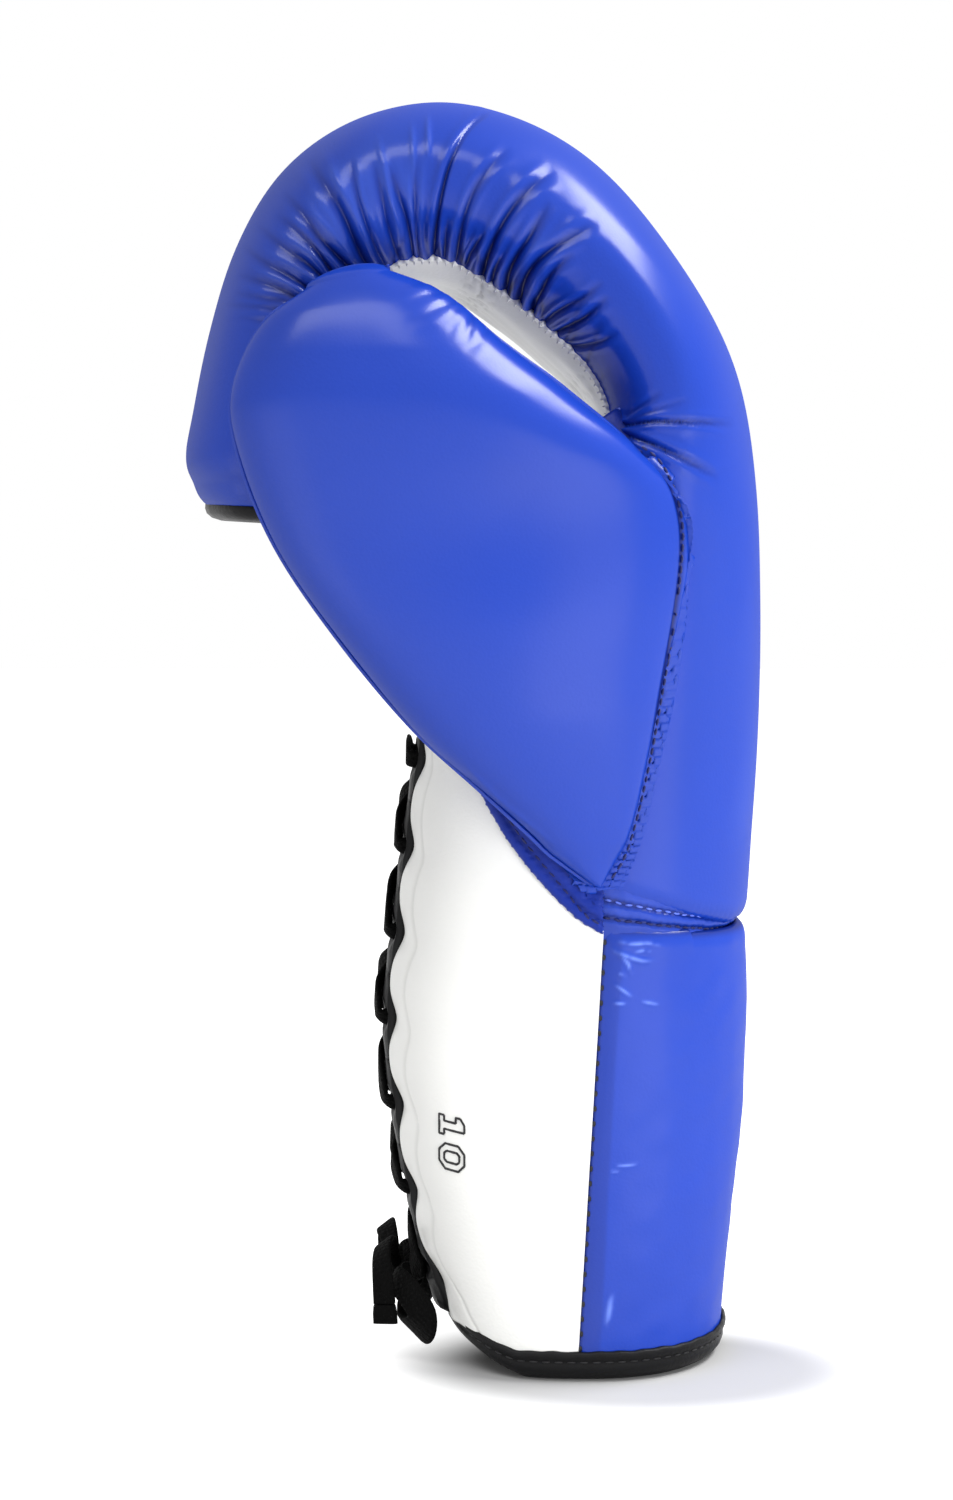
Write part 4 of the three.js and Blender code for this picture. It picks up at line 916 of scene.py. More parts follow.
# Painted shade in the groove of the seam to the back of the mitt
near, far, share, side = nearLine(outSpots, thumbSeamLine, count=40)
seamGroove = np.exp(-(far / 0.6) ** 2)
outHeight[near] -= 0.45 * seamGroove
outFoldShade[near] = 0.95 * seamGroove
foldIn(outSpots, outHeight, outFoldShade, thumbFoldLines)
raiseAlong(outSpots, outHeight, thumbRidgeLines)
thumbOuter, thumbOuterGrid = addShell("thumbOuterPanel", outBase, outHeight, thumbSizes["leather"],
                                      {"fold": outFoldShade, "rub": 0 * outFoldShade})
blendStart = np.array([9.4, -45, 167])
blendEnd = blendStart + np.array([-0.978, 0, 0.211]) * 25
thumbBlend = (("mitt", "thumb"), blendStart, blendEnd)
dress(thumbOuter, blueLeather, blend=thumbBlend, stands=["thumb_outer_leather"])
thumbEdge = addMesh("thumbEdgeSeam", *ringsMesh(tubeAlong(outBase[6::4, 0], thumbSizes["edgeSeam"])))
dress(thumbEdge, blueLeather, blend=thumbBlend)
inAngles = np.linspace(2 * math.pi, math.pi, 90)
inBase = thumbPoint(thumbShares[:, None], inAngles[None])
clearOf = mittDepth(inBase[..., 0], inBase[..., 2]) + 0.5
inBase[..., 1] = np.where(clearOf > 1, np.minimum(inBase[..., 1], -clearOf), inBase[..., 1])
for column, matching in ((0, -1), (-1, 0)):
    inBase[:, column] = outBase[:len(inBase), matching]
inBase = closeTip(inBase)
inHeight = -0.35 + 0 * inBase[..., 0]
thumbInner, thumbInnerGrid = addShell("thumbInnerPanel", inBase, inHeight, 1.2, {"fold": 0, "rub": 0})
dress(thumbInner, blueLeather, blend=thumbBlend, stands=["thumb_inner_leather"])
surfaces = [(grid, photoSpot(grid)) for grid in (thumbOuterGrid.reshape(-1, 3), mittOuter[:, :90].reshape(-1, 3))]
seamPath = []
for spot in smoothLine(thumbSeamLine, 120)[:-2]:
    front = min(grid[np.linalg.norm(spots - spot, axis=1).argmin(), 1] for grid, spots in surfaces)
    seamPath.append(photoPoint(spot, front - 0.1))
stitches = addMesh("thumbSeamStitches", *stitchRow(seamPath, 2.5, 1.7, 0.36))
dress(stitches, blueThread, blend=thumbBlend)
print("glove: thumb panels made")


def sideDepth(x, z):
    # How far the glove's side stands out at a place in X and Z, down to the hem
    x, z = np.broadcast_arrays(np.asarray(x, float), np.asarray(z, float))
    shares = shareAtZ(np.minimum(z, 60))
    palm, back = along(palmRail, shares)[..., 0], along(backRail, shares)[..., 0]
    cosine = np.clip((x - (palm + back) / 2) / ((back - palm) / 2), -1, 1)
    power = roundness(cosine)
    low = along(widthRail, shares)[..., 0] * (1 - np.abs(cosine) ** power) ** (1 / power)
    return np.where(z < 50, low, mittDepth(x, z))


# Web between the thumb's upper edge and the fist
webAngles = np.linspace(0, 2 * math.pi, 28, endpoint=False)
webRings = []
for share in np.linspace(0, 1, 22):
    middle = mix(np.array([6.2, -56.5, 217.6]), np.array([-1.2, -49.5, 226.5]), share)
    half = np.array([1.9 + 1.4 * math.cos(share * math.pi) ** 2, 5.4])
    across = unit(np.array([0.75, 0.15, 0.62]))
    up = unit(np.cross(across, [-0.5, 0.5, 0.6]))
    wave = 1 + 0.1 * np.sin(webAngles * 5 + share * 9)
    webRings.append(middle + np.outer(np.cos(webAngles) * half[1] * wave, across) + np.outer(np.sin(webAngles) * half[0], up))
webPoints, webFaces = ringsMesh(np.array(webRings))
# The web's fold mask lays a little painted shade over all of it
web = addMesh("thumbWeb", webPoints, webFaces, {"fold": np.full(len(webPoints), 0.25), "rub": np.zeros(len(webPoints))})
dress(web, shadedBlueLeather, blend=thumbBlend, stands=["thumb_strap"])
webTeeth = []
for row in np.linspace(409, 437, 6):
    tooth = photoPoint((619, row), -52)
    tooth[1] = -float(mittDepth(tooth[0:1], tooth[2:3])[0]) - 0.5
    webTeeth.append(ringsMesh(tubeAlong(tooth + np.outer(np.linspace(-1.1, 1.1, 5), (0.96, 0, 0.26)), 0.34, 6)))
overcast = addMesh("webOvercast", *joinMeshes(webTeeth))
dress(overcast, lightBlueThread, body="mitt")

# Gussets that lap over the white panels below the thumb, and the same on the other side
gussetLine = smoothLine([(-1.3, 107.7), (-6.5, 110.8), (-11.5, 115.4), (-16.1, 120.4), (-20.6, 126), (-24.2, 131), (-27.7, 137),
                         (-32, 146.8)], 90)
gussetSizes = {"rows": 34, "rise": 19, "shortRise": 11, "proud": 1.5, "thick": 1.3}
gussetTurn = rise(-gussetLine[:, 0], 1, 17)[:, None]
gussetUp = unit(mix(np.array([0.0, 1.0]), np.array([0.62, 0.78]), gussetTurn))
gussetRise = mix(gussetSizes["shortRise"], gussetSizes["rise"], gussetTurn)
for name, side in (("thumb", -1), ("finger", 1)):
    steps = np.linspace(0, 1, gussetSizes["rows"])[:, None, None]
    flat = gussetLine[None] + gussetUp[None] * gussetRise[None] * steps
    depth = sideDepth(flat[..., 0], flat[..., 1])
    base = np.stack([flat[..., 0], side * depth, flat[..., 1]], axis=-1)
    if side > 0:
        base = base[:, ::-1]
    base = base[:, ::-1]
    fromLow, _, fromLeft, fromRight = edgeDistances(base)
    height = gussetSizes["proud"] - roll(fromLow, 1.6, 0.8) - 0.5 * np.exp(-((fromLow - 3.1) / 0.7) ** 2)
    height += 0.2 * np.sin(fromLeft * 1.05 + 2 * np.sin(fromLow * 0.3)) * rise(fromLow, 3.5, 9)
    height += 0.25 * softNoise(base, 9, 20)
    # Painted shade along the stitch groove and over the upper part
    fold = np.clip(0.35 * np.exp(-((fromLow - 3.1) / 0.8) ** 2) + 0.5 * rise(fromLow, 5, 16), 0, 1)
    gusset, outer = addShell(f"{name}Gusset", base, height, gussetSizes["thick"], {"fold": fold, "rub": 0})
    dress(gusset, shadedBlueLeather, body="mitt", stands=[f"{name}_gusset"])
    row = int(np.abs(fromLow.mean(axis=1) - 3.1).argmin())
    stitches = addMesh(f"{name}GussetStitches", *stitchRow(outer[row, 2:-2], 2.6, 1.8, 0.3))
    dress(stitches, blueThread, body="mitt")
print("glove: web and gussets made")

# Welt at the back of the wrist, with two rows of stitches, and the white fold behind the thumb
wristBlend = (("cuff", "mitt"), np.array([20, 0, 100.5]), np.array([20, 0, 113.5]))
foldBlend = (("cuff", "mitt"), np.array([-30, 0, 139]), np.array([-44.3, 0, 159.5]))


def bandGrid(angles, low, high, rows, inset):
    # A grid between two edges around the glove
    first, last = shareAtEdge(angles, low), shareAtEdge(angles, high)
    shares = first[None] + (last - first)[None] * np.linspace(0, 1, rows)[:, None]
    return glovePoint(shares, angles[None], inset)


# The welt lies almost flush at the sides and deep in the notch at the back. Two grooves hold its stitch rows.
weltSizes = {"rows": 60, "columns": 420, "sideInset": 0.9, "backInset": 3.2, "rowShares": (0.36, 0.62), "tuck": 4.5,
             "pitch": 2.7, "long": 1.7, "thick": 0.33}
weltAngles = np.linspace(-1.66, 1.66, weltSizes["columns"])
weltInset = mix(weltSizes["sideInset"], weltSizes["backInset"], 1 - rise(np.abs(weltAngles), 0.35, 1.3))
weltBase = bandGrid(weltAngles, lambda x: cuffTopZ(x) - 3, lambda x: mittLowZ(x) + weltSizes["tuck"], weltSizes["rows"], weltInset[None])
up, down, _, _ = edgeDistances(weltBase)
weltShare = up / (up + down)
weltHeight = 0.6 * np.sin(np.pi * weltShare) ** 2 + 0.12 * softNoise(weltBase, 5, 15)
# Painted shade along the lower edge and in both stitch grooves
weltFoldShade = 0.3 * np.exp(-(weltShare / 0.3) ** 2)
for share in weltSizes["rowShares"]:
    groove = np.exp(-((weltShare - share) / 0.055) ** 2)
    weltHeight -= 0.65 * groove
    weltFoldShade = np.maximum(weltFoldShade, 0.75 * groove)
welt, weltOuter = addShell("wristWelt", weltBase, weltHeight, 1.2, {"fold": weltFoldShade, "rub": 0})
dress(welt, blueLeather, blend=wristBlend, stands=["wrist_welt"])
for number, (share, thread) in enumerate(zip(weltSizes["rowShares"], (blueThread, lightBlueThread))):
    row = weltOuter[int(share * weltSizes["rows"])]
    stitches = addMesh(f"weltStitches{number}", *stitchRow(row, weltSizes["pitch"], weltSizes["long"], weltSizes["thick"]))
    dress(stitches, thread, blend=wristBlend)
foldAngles = np.linspace(1.72, 2 * math.pi - 1.72, 170)
foldBase = bandGrid(foldAngles, lambda x: cuffTopZ(x) - 4, lambda x: mittLowZ(x) + 4, 60, 1.2)
up, down, _, _ = edgeDistances(foldBase)
share = up / (up + down)
foldHeight = -1.6 * np.sin(share * math.pi) ** 2 + 0.9 * np.sin(share * 3 * math.pi) * np.sin(share * math.pi)
foldHeight += 0.2 * softNoise(foldBase, 14, 31)
# Painted shade in the hollows of the fold
foldHollowShade = 0.35 * rise(-foldHeight, 0.6, 2)
palmFold, _ = addShell("palmFold", foldBase, foldHeight, 1.2, {"fold": foldHollowShade, "rub": 0})
dress(palmFold, whiteLeather, blend=foldBlend, stands=["palm_fold"])
print("glove: wrist made")


# Cuff: a blue back panel and two white side panels, drawn in at the lace holes
cuffSizes = {"leather": 1.5, "hemZ": 5, "laceZ": 21, "lacePitch": 21, "laceRows": 7, "laceEdgeY": 15.4, "scallop": 1.7,
             "pull": 1.5, "flare": 12, "flareZ": 34, "hemLift": 9, "liftFrom": -21, "liftTo": -41}
rowHeights = [cuffSizes["laceZ"] + cuffSizes["lacePitch"] * n for n in range(cuffSizes["laceRows"])]


def hemLift(x):
    # The hem swings up towards the lacing
    return cuffSizes["hemLift"] * np.clip((cuffSizes["liftFrom"] - x) / (cuffSizes["liftFrom"] - cuffSizes["liftTo"]), 0, 1) ** 1.3


def edgeFlare(z):
    # How far the lacing edges swing apart at the bottom
    return cuffSizes["flare"] * (1 - rise(z, 2, cuffSizes["flareZ"]))


def cuffGrid(angleAt, columns, rows):
    # A grid from the hem to the cuff's top. angleAt gives the angle for a share and a place across.
    shares = np.linspace(0, 0.47, 260)
    across = np.linspace(0, 1, columns)
    angles = angleAt(shares[:, None], across[None])
    points = glovePoint(shares[:, None], angles)
    above = points[..., 2] - cuffTopZ(points[..., 0]) > 0
    top = shares[np.where(above.any(axis=0), above.argmax(axis=0), len(shares) - 1)]
    low = shareAtZ(cuffSizes["hemZ"] + hemLift(points[20, :, 0]))
    wanted = low[None] + (top - low)[None] * np.linspace(0, 1, rows)[:, None]
    turned = np.stack([np.interp(wanted[:, k], shares, angles[:, k]) for k in range(columns)], axis=1)
    return glovePoint(wanted, turned)


def backAngles(share, across):
    limit = seamAngle(share[:, 0])[:, None]
    return mix(-limit, limit, across)


wrinkleRidges = [(0.15, 0.4, [(613, 1165), (624, 1166), (640, 1164)]), (0.15, 0.4, [(610, 1171), (620, 1172)]),
                 (0.25, 0.5, [(633, 952), (645, 950), (652, 952)]), (0.2, 0.5, [(618, 972), (626, 978)]),
                 (0.4, 0.6, [(615, 941), (632, 944), (648, 943), (663, 946)]), (0.45, 0.65, [(611, 949), (626, 956), (642, 961), (654, 961)]),
                 (0.35, 0.55, [(620, 953), (628, 964), (632, 976)]), (0.3, 0.5, [(614, 984), (625, 992), (633, 998)]),
                 (0.25, 0.5, [(613, 1003), (627, 1004)]), (0.2, 0.5, [(640, 1001), (660, 1005)]),
                 (0.25, 0.8, [(612, 1290), (609, 1310), (606, 1330)])]
backBase = cuffGrid(backAngles, 260, 260)
fromHem, fromTop, fromLeft, fromRight = edgeDistances(backBase)
nearSeam = np.minimum(fromLeft, fromRight)
backHeight = -roll(nearSeam, 5.4, 1.3) - roll(fromTop, 4.5, 2.0)
backHeight += 0.22 * softNoise(backBase, 40, 41) + 0.07 * softNoise(backBase, 11, 42) * rise(nearSeam, 3, 12)
backSpots = photoSpot(np.where(backBase[..., 1:2] < 0, backBase, backBase * np.array([1, -1, 1])))
# A painted highlight on the crests of the wrinkles, broken up by noise
backCrestHighlight = np.zeros(backHeight.shape)
raiseAlong(backSpots, backHeight, wrinkleRidges, backCrestHighlight)
backCrestHighlight *= 0.8 * rise(softNoise(backBase, 3.4, 44), -1.9, 0.2)
# Painted shade in a strip along both seams, on the seam line and under the top edge
backSeamAndTopShade = 0.25 * (1 - rise(nearSeam, 4.4, 5.6)) + 0.5 * np.exp(-(nearSeam / 0.5) ** 2)
backSeamAndTopShade = np.maximum(backSeamAndTopShade, 0.7 * np.exp(-(fromTop / 1.2) ** 2))
backPanel, backOuter = addShell("cuffBackPanel", backBase, backHeight, cuffSizes["leather"], {"fold": backSeamAndTopShade, "rub": backCrestHighlight})
dress(backPanel, blueLeather, body="cuff", stands=["cuff_back_panel"])
for name, column in (("thumb", 1), ("finger", -2)):
    stitches = addMesh(f"{name}SeamStitches", *stitchRow(backOuter[4:-6, column], 3.6, 1.3, 0.42))
    dress(stitches, blackThread, body="cuff")

for name, side in (("thumb", -1), ("finger", 1)):

    def panelAngles(share, across):
        flat = share[:, 0]
        z = along(palmRail, flat)[:, 2]
        wave = 1 - 2 * np.abs(np.sin((z - cuffSizes["laceZ"]) / cuffSizes["lacePitch"] * math.pi)) ** 1.2
        edge = angleAtY(flat, cuffSizes["laceEdgeY"] + cuffSizes["scallop"] * wave * (1 - edgeFlare(z) / cuffSizes["flare"]) + edgeFlare(z))
        return side * mix(seamAngle(flat)[:, None], edge[:, None], across)

    panelBase = cuffGrid(panelAngles, 120, 230)
    if side < 0:
        panelBase = panelBase[:, ::-1]
    fromHem, fromTop, fromLeft, fromRight = edgeDistances(panelBase)
    fromSeam, fromLace = (fromRight, fromLeft) if side < 0 else (fromLeft, fromRight)
    panelHeight = -roll(fromSeam, 1.2, 0.5) - roll(fromTop, 3, 1.2) + 0.1 * softNoise(panelBase, 30, 61)
    near = np.cos((panelBase[..., 2] - cuffSizes["laceZ"]) / cuffSizes["lacePitch"] * 2 * math.pi)
    panelHeight -= cuffSizes["pull"] * np.exp(-fromLace / 7) * (0.5 + 0.5 * near) ** 2
    panelHeight += 0.5 * np.exp(-((fromLace - 2.4) / 1.8) ** 2) * (0.5 - 0.5 * near)
    panelHeight -= 0.25 * np.exp(-((fromLace - 12.5) / 0.7) ** 2)
    # Painted shade along the crease and at the lacing edge
    panelFoldShade = 0.28 * np.exp(-((fromLace - 12.5) / 0.8) ** 2) + 0.25 * np.exp(-(fromLace / 1.2) ** 2)
    panel, panelOuter = addShell(f"{name}SidePanel", panelBase, panelHeight, cuffSizes["leather"],
                                 {"fold": panelFoldShade, "rub": 0})
    dress(panel, whiteLeather, body="cuff", stands=[f"cuff_side_panel_{name}"])
    if side < 0:
        numberedPanel = panelOuter.reshape(-1, 3)
print("glove: cuff panels made")

# Binding around the hem, rolled over its lower edge and open at the lacing
bindingProfile = [(0.1, 7.5), (-0.5, 7.4), (-0.95, 6.9), (-0.9, 6.1), (-0.5, 5.4), (-0.15, 4.9), (-0.4, 4.3), (-0.55, 3.5), (-0.2, 2.3),
                  (0.8, 1.1), (2.2, 0.3), (3.8, 0), (5.4, 0.3), (6.8, 1.2), (7.9, 2.6), (8.4, 4.4), (8.4, 6.8), (7.9, 7.6),
                  (7.3, 7), (7.2, 5.2), (6.4, 3.6), (5.2, 2.6), (3.8, 2.2), (2.4, 2.4), (1.2, 3.2), (0.6, 4.6), (0.4, 6.2)]
bindingSizes = {"slitY": 16, "steps": 260, "stitchInset": -0.3, "stitchZ": 4.9}
slitTurn = float(angleAtY(shareAtZ(5), bindingSizes["slitY"])[0])
bindingAngles = np.linspace(-slitTurn, slitTurn, bindingSizes["steps"])


def hemRing(inset, z):
    return glovePoint(shareAtZ(z), bindingAngles, inset)


bindingRings = np.array([hemRing(inset, z) for inset, z in bindingProfile]).transpose(1, 0, 2)
wave = 0.1 * np.sin(bindingAngles * 41) + 0.08 * np.sin(bindingAngles * 17 + 1)
bindingRings[:, :4, 2] += wave[:, None]
bindingRings[..., 2] += hemLift(bindingRings[:, 6:7, 0])
bindingPoints, bindingFaces = ringsMesh(bindingRings)
# Painted shade along the binding's upper edge
bindingEdgeShade = np.tile(np.clip(1 - np.arange(len(bindingProfile)) / 2, 0, 1) * 0.4, len(bindingRings))
binding = addMesh("hemBinding", bindingPoints, bindingFaces, {"fold": bindingEdgeShade, "rub": 0 * bindingEdgeShade})
dress(binding, blackLeather, body="cuff", stands=["hem_binding"])
stitchLine = hemRing(bindingSizes["stitchInset"], bindingSizes["stitchZ"])[2:-2]
stitchLine[:, 2] += hemLift(stitchLine[:, 0])
stitches = addMesh("hemStitches", *stitchRow(stitchLine, 3.0, 1.9, 0.26))
dress(stitches, blackThread, body="cuff")
print("glove: hem binding made")


# Lacing edges with their holes, the tongue behind them, and the lace
laceSizes = {"slitY": 7, "facingY": 16.2, "holeY": 11.6, "holeRadius": 2.6, "facing": 2.6, "proud": 0.9, "top": 152,
             "bottom": 8.4, "lift": 5, "thick": 1.5, "over": -2.1, "under": 3.6}


def facingPoints(side, depth):
    # One cell for each hole, from its rim out to the cell's edges, down the whole strip
    spokes, rings = 48, 7
    turn = np.arange(spokes) * 2 * math.pi / spokes + math.pi / spokes
    low, high = laceSizes["slitY"], laceSizes["facingY"]
    points, faces, first = [], [], 0
    limits = [laceSizes["bottom"], *[z + cuffSizes["lacePitch"] / 2 for z in rowHeights[:-1]], laceSizes["top"]]
    for z, bottom, top in zip(rowHeights, limits[:-1], limits[1:]):
        reachY = np.where(np.cos(turn) > 0, high - laceSizes["holeY"], laceSizes["holeY"] - low) / np.abs(np.cos(turn))
        reachZ = np.where(np.sin(turn) > 0, top - z, z - bottom) / np.abs(np.sin(turn))
        far = np.minimum(reachY, reachZ)
        for ring in range(rings):
            share = (ring / (rings - 1)) ** 1.4
            radius = mix(laceSizes["holeRadius"], far, share)
            points.append(np.stack([laceSizes["holeY"] + radius * np.cos(turn), z + radius * np.sin(turn)], axis=1))
        faces += gridFaces(rings, spokes, True, first).tolist()
        first += rings * spokes
    flat = np.concatenate(points)
    wave = np.cos((flat[:, 1] - cuffSizes["laceZ"]) / cuffSizes["lacePitch"] * 2 * math.pi)
    edge = rise(flat[:, 0], laceSizes["holeY"], high)
    holes = np.min([np.hypot(flat[:, 0] - laceSizes["holeY"], flat[:, 1] - z) for z in rowHeights], axis=0)
    sunk = 0.8 * np.exp(-((holes - laceSizes["holeRadius"]) / 1.6) ** 2) - 0.35 * np.exp(-((holes - 5) / 2) ** 2)
    sunk += 0.5 * rise(flat[:, 0], high - 2, high) + 0.5 * (1 - rise(flat[:, 0], low, low + 1.6))
    share = np.clip((flat[:, 0] - low) / (high - low), 0, 1)
    across = flat[:, 0] + edge * 0.8 * wave + share ** 1.5 * edgeFlare(flat[:, 1])
    up = flat[:, 1] + laceSizes["lift"] * (1 - rise(flat[:, 1], laceSizes["bottom"], 30))
    rounded = palmPoint(side * across, up, 0)
    return rounded + np.array([1.0, 0, 0]) * (depth + sunk)[:, None], faces


for name, side in (("thumb", -1), ("finger", 1)):
    outer, faces = facingPoints(side, -laceSizes["proud"])
    inner, _ = facingPoints(side, laceSizes["facing"] - laceSizes["proud"])
    points, closed = closeSheet(outer, inner, faces)
    facing = addMesh(f"{name}LaceFacing", points, closed, {"fold": np.zeros(len(points)), "rub": np.zeros(len(points))})
    dress(facing, blackLeather, body="cuff", stands=[f"lace_facing_{name}"])

tongueY, tongueZ = np.meshgrid(np.linspace(-21.5, 21.5, 60), np.linspace(9, 150, 150))
tongueBulge = 8.4 * np.exp(-(tongueY / 6.5) ** 2) * (1 - rise(tongueZ, 126, 140))
tongueBase = palmPoint(tongueY, tongueZ, 7.9 - tongueBulge)[:, ::-1]
tongueHeight = 0.3 * softNoise(tongueBase, 22, 71) - 0.3
# The tongue's fold mask lays a little painted shade over all of it, behind the lacing
tongue, _ = addShell("tongue", tongueBase, tongueHeight, 1.8, {"fold": 0.2, "rub": 0})
dress(tongue, blackLeather, body="cuff", stands=["tongue"])


def laceRibbon(name, route, wide, thick, outwards, density=5):
    # A flat woven lace along a route, with its face towards the given directions
    fine = smoothRoute(route, density)
    share = np.linspace(0, 1, len(fine))
    given = np.linspace(0, 1, len(route))
    width = np.interp(share, given, np.broadcast_to(wide, len(route)))
    up = np.stack([np.interp(share, given, np.asarray(outwards, float)[:, k]) for k in range(3)], axis=1)
    heading = unit(np.gradient(fine, axis=0))
    up = unit(up - heading * np.sum(up * heading, axis=1, keepdims=True))
    across = np.cross(heading, up)
    turn = np.arange(14) * 2 * math.pi / 14
    cosine, sine = np.cos(turn), np.sin(turn)
    section = [np.sign(cosine) * np.abs(cosine) ** 0.55, np.sign(sine) * np.abs(sine) ** 0.8]
    half = (width / 2)[:, None, None]
    rings = fine[:, None] + across[:, None] * section[0][None, :, None] * half
    rings = rings + up[:, None] * (section[1] * thick / 2 + 0.25 * section[0] ** 2)[None, :, None]
    return ringsMesh(rings), fine


def smoothRoute(route, density=5):
    # A smooth line through given points
    route = np.asarray(route, float)
    ends = np.vstack([2 * route[0] - route[1], route, 2 * route[-1] - route[-2]])
    line = []
    for i in range(len(route) - 1):
        a, b, c, d = ends[i:i + 4]
        for t in np.arange(density) / density:
            line.append(0.5 * (2 * b + (c - a) * t + (2 * a - 5 * b + 4 * c - d) * t ** 2 + (3 * b - a - 3 * c + d) * t ** 3))
    return np.array([*line, route[-1]])


def surfaceOut(point):
    # Outwards from the cuff's palm side
    bend = np.clip(point[1] / 40, -1, 1)
    return np.array([-1, bend * 0.55, 0])


knotPoint = palmPoint(np.float64(0), np.float64(17), -5)


def laceStrand(firstSide, cross):
    points, widths = [], []
    for i, z in enumerate(rowHeights[:-1]):
        side = firstSide if i % 2 == 0 else -firstSide
        onward = rowHeights[i + 1]
        for share, y, depth, wide in [(0, 11.6, -1.4, 4.8), (0.1, 10.2, laceSizes["over"], 6.8), (0.3, 5.4, laceSizes["over"], 7.6),
                                      (0.5, 0, cross, 7.4), (0.72, -5.4, 2.4, 6.4), (0.88, -9.6, laceSizes["under"], 5.6),
                                      (0.97, -11.6, laceSizes["under"] - 0.4, 4.4)]:
            points.append(palmPoint(np.float64(side * y), np.float64(mix(z, onward, share)), depth))
            widths.append(wide)
    last = firstSide if (len(rowHeights) - 1) % 2 == 0 else -firstSide
    points.append(palmPoint(np.float64(last * 11.6), np.float64(rowHeights[-1]), -1.6))
    return points, widths + [4.4]


out, outWide = laceStrand(-1, -1.5)
back, backWide = laceStrand(1, 0.9)
topBar = [palmPoint(np.float64(y), np.float64(rowHeights[-1] + above), -2.3) for y, above in ((-8, 1.2), (0, 2), (8, 1.2))]
if out[-1][1] > 0:
    topBar = topBar[::-1]
start = [knotPoint + np.array([0.3, -2.6, 3.6]), palmPoint(np.float64(-7.5), np.float64(20.4), -3)]
finish = [palmPoint(np.float64(7.5), np.float64(20.4), -3), knotPoint + np.array([0.3, 2.6, 3.6])]
route = [*start, *out, *topBar, *back[::-1], *finish]
wides = [4.2, 5.6, *outWide, 5.8, 6.4, 5.8, *backWide[::-1], 5.6, 4.2]
ribbon, _ = laceRibbon("lace", route, wides, laceSizes["thick"], [surfaceOut(p) for p in route], 6)
lace = addMesh("lace", *ribbon)
dress(lace, laceCloth, body="cuff", stands=["lace"])

# Knot, bow loops and tails, on the routes that the frame has
turns = np.linspace(0, 2 * math.pi, 120, endpoint=False)
trefoil = np.stack([-np.sin(3 * turns) * 1.5, (np.sin(turns) + 2 * np.sin(2 * turns)) * 0.95,
                    (np.cos(turns) - 2 * np.cos(2 * turns)) * 0.9], axis=1)
knotParts = [ringsMesh(tubeAlong(knotPoint + trefoil, 1.45, 12, closed=True, flat=0.8), closed=True)]
core = [knotPoint + np.array([0, 0, 1.0]) * h for h in np.linspace(-2.6, 2.6, 9)]
knotParts.append(ringsMesh(tubeAlong(core, 1.9 * np.sin(np.linspace(0.35, math.pi - 0.35, 9)) ** 0.6, 12)))
knot = addMesh("laceKnot", *joinMeshes(knotParts))
dress(knot, laceCloth, body="cuff", stands=["lace_knot"])


def bowLoopRoute(side):
    steps = [(-1.5, 5.2, -1.5), (-3.2, 8, 0.6), (-3.8, 12, 2), (-3, 16, 2), (-1, 20, 1), (1.4, 23.6, -1.2),
             (3.2, 25.6, -3.8), (3.2, 25, -6.6), (2, 21.8, -8.8), (0.6, 17.6, -9.4), (-0.5, 13.4, -8.6),
             (-1, 9.6, -6.8), (-1, 6.8, -5), (-0.6, 4.4, -3.4)]
    return [knotPoint + np.array([x, side * y, z]) for x, y, z in steps]


def bowTailRoute(side):
    steps = [(-3.6, 1.6, 2.4), (-4.8, 3, 5.8), (-5.8, 5.6, 8.4), (-6.4, 9.4, 9.6), (-6.8, 13.2, 9), (-6.9, 16.7, 7.2),
             (-6.6, 19.5, 4.2), (-6.3, 21.1, 0.8), (-6.1, 21.5, -2.4)]
    return [knotPoint + np.array([x, side * y, z]) for x, y, z in steps]


bowSizes = {"loopWide": 6.4, "tailWide": 4.8, "thick": 1.6, "tipWide": 6.2, "tipLong": 4.8}
for name, side in (("thumb", -1), ("finger", 1)):
    loop = bowLoopRoute(side)
    middle = np.mean(loop, axis=0)
    facing = [np.array([-0.9, 0, 0]) + unit(point - middle) * 0.9 for point in loop]
    wides = np.interp(np.arange(len(loop)), [0, 3, 6, 8, 11, len(loop) - 1], [3.6, 6.4, 8.6, 8.6, 6.4, 3.6])
    ribbon, line = laceRibbon("bowLoop", loop, wides, bowSizes["thick"], facing, 5)
    piece = addMesh(f"{name}BowLoop", *ribbon)
    dress(piece, laceCloth, body="cuff", stands=[f"bow_loop_{name}"])
    tail = bowTailRoute(side)
    facing = [mix(np.array([-0.6, 0.1 * side, 0.8]), np.array([-0.25, -1, 0]), float(rise(k, 4, 7))) for k in range(len(tail))]
    wides = np.interp(np.arange(len(tail)), [0, 2, len(tail) - 1], [4, 5.4, 5.6])
    ribbon, line = laceRibbon("bowTail", tail, wides, bowSizes["thick"], facing, 6)
    piece = addMesh(f"{name}BowTail", *ribbon)
    dress(piece, laceCloth, body="cuff", stands=[f"bow_tail_{name}"])
    ends = line[-1] + np.array([0.05, 0, -1.0]) * np.linspace(0.2, bowSizes["tipLong"], 9)[:, None]
    wides = np.interp(np.arange(9), [0, 1, 4, 8], [5.4, 5.8, bowSizes["tipWide"], bowSizes["tipWide"]])
    ribbon, _ = laceRibbon("tip", ends, wides, 2.2, [np.array([-0.25, -1, 0])] * 9, 3)
    tip = addMesh(f"{name}LaceTip", *ribbon)
    dress(tip, laceCloth, body="cuff", stands=[f"lace_tip_{name}"])
print("glove: lacing made")


# Linings and padding inside
liningSizes = {"skin": 1.8, "cuffFoam": 4, "backFoam": 20, "sideFoam": 8, "gap": 0.3, "padStart": 0.2, "padFull": 0.36,
               "endShare": 0.93}


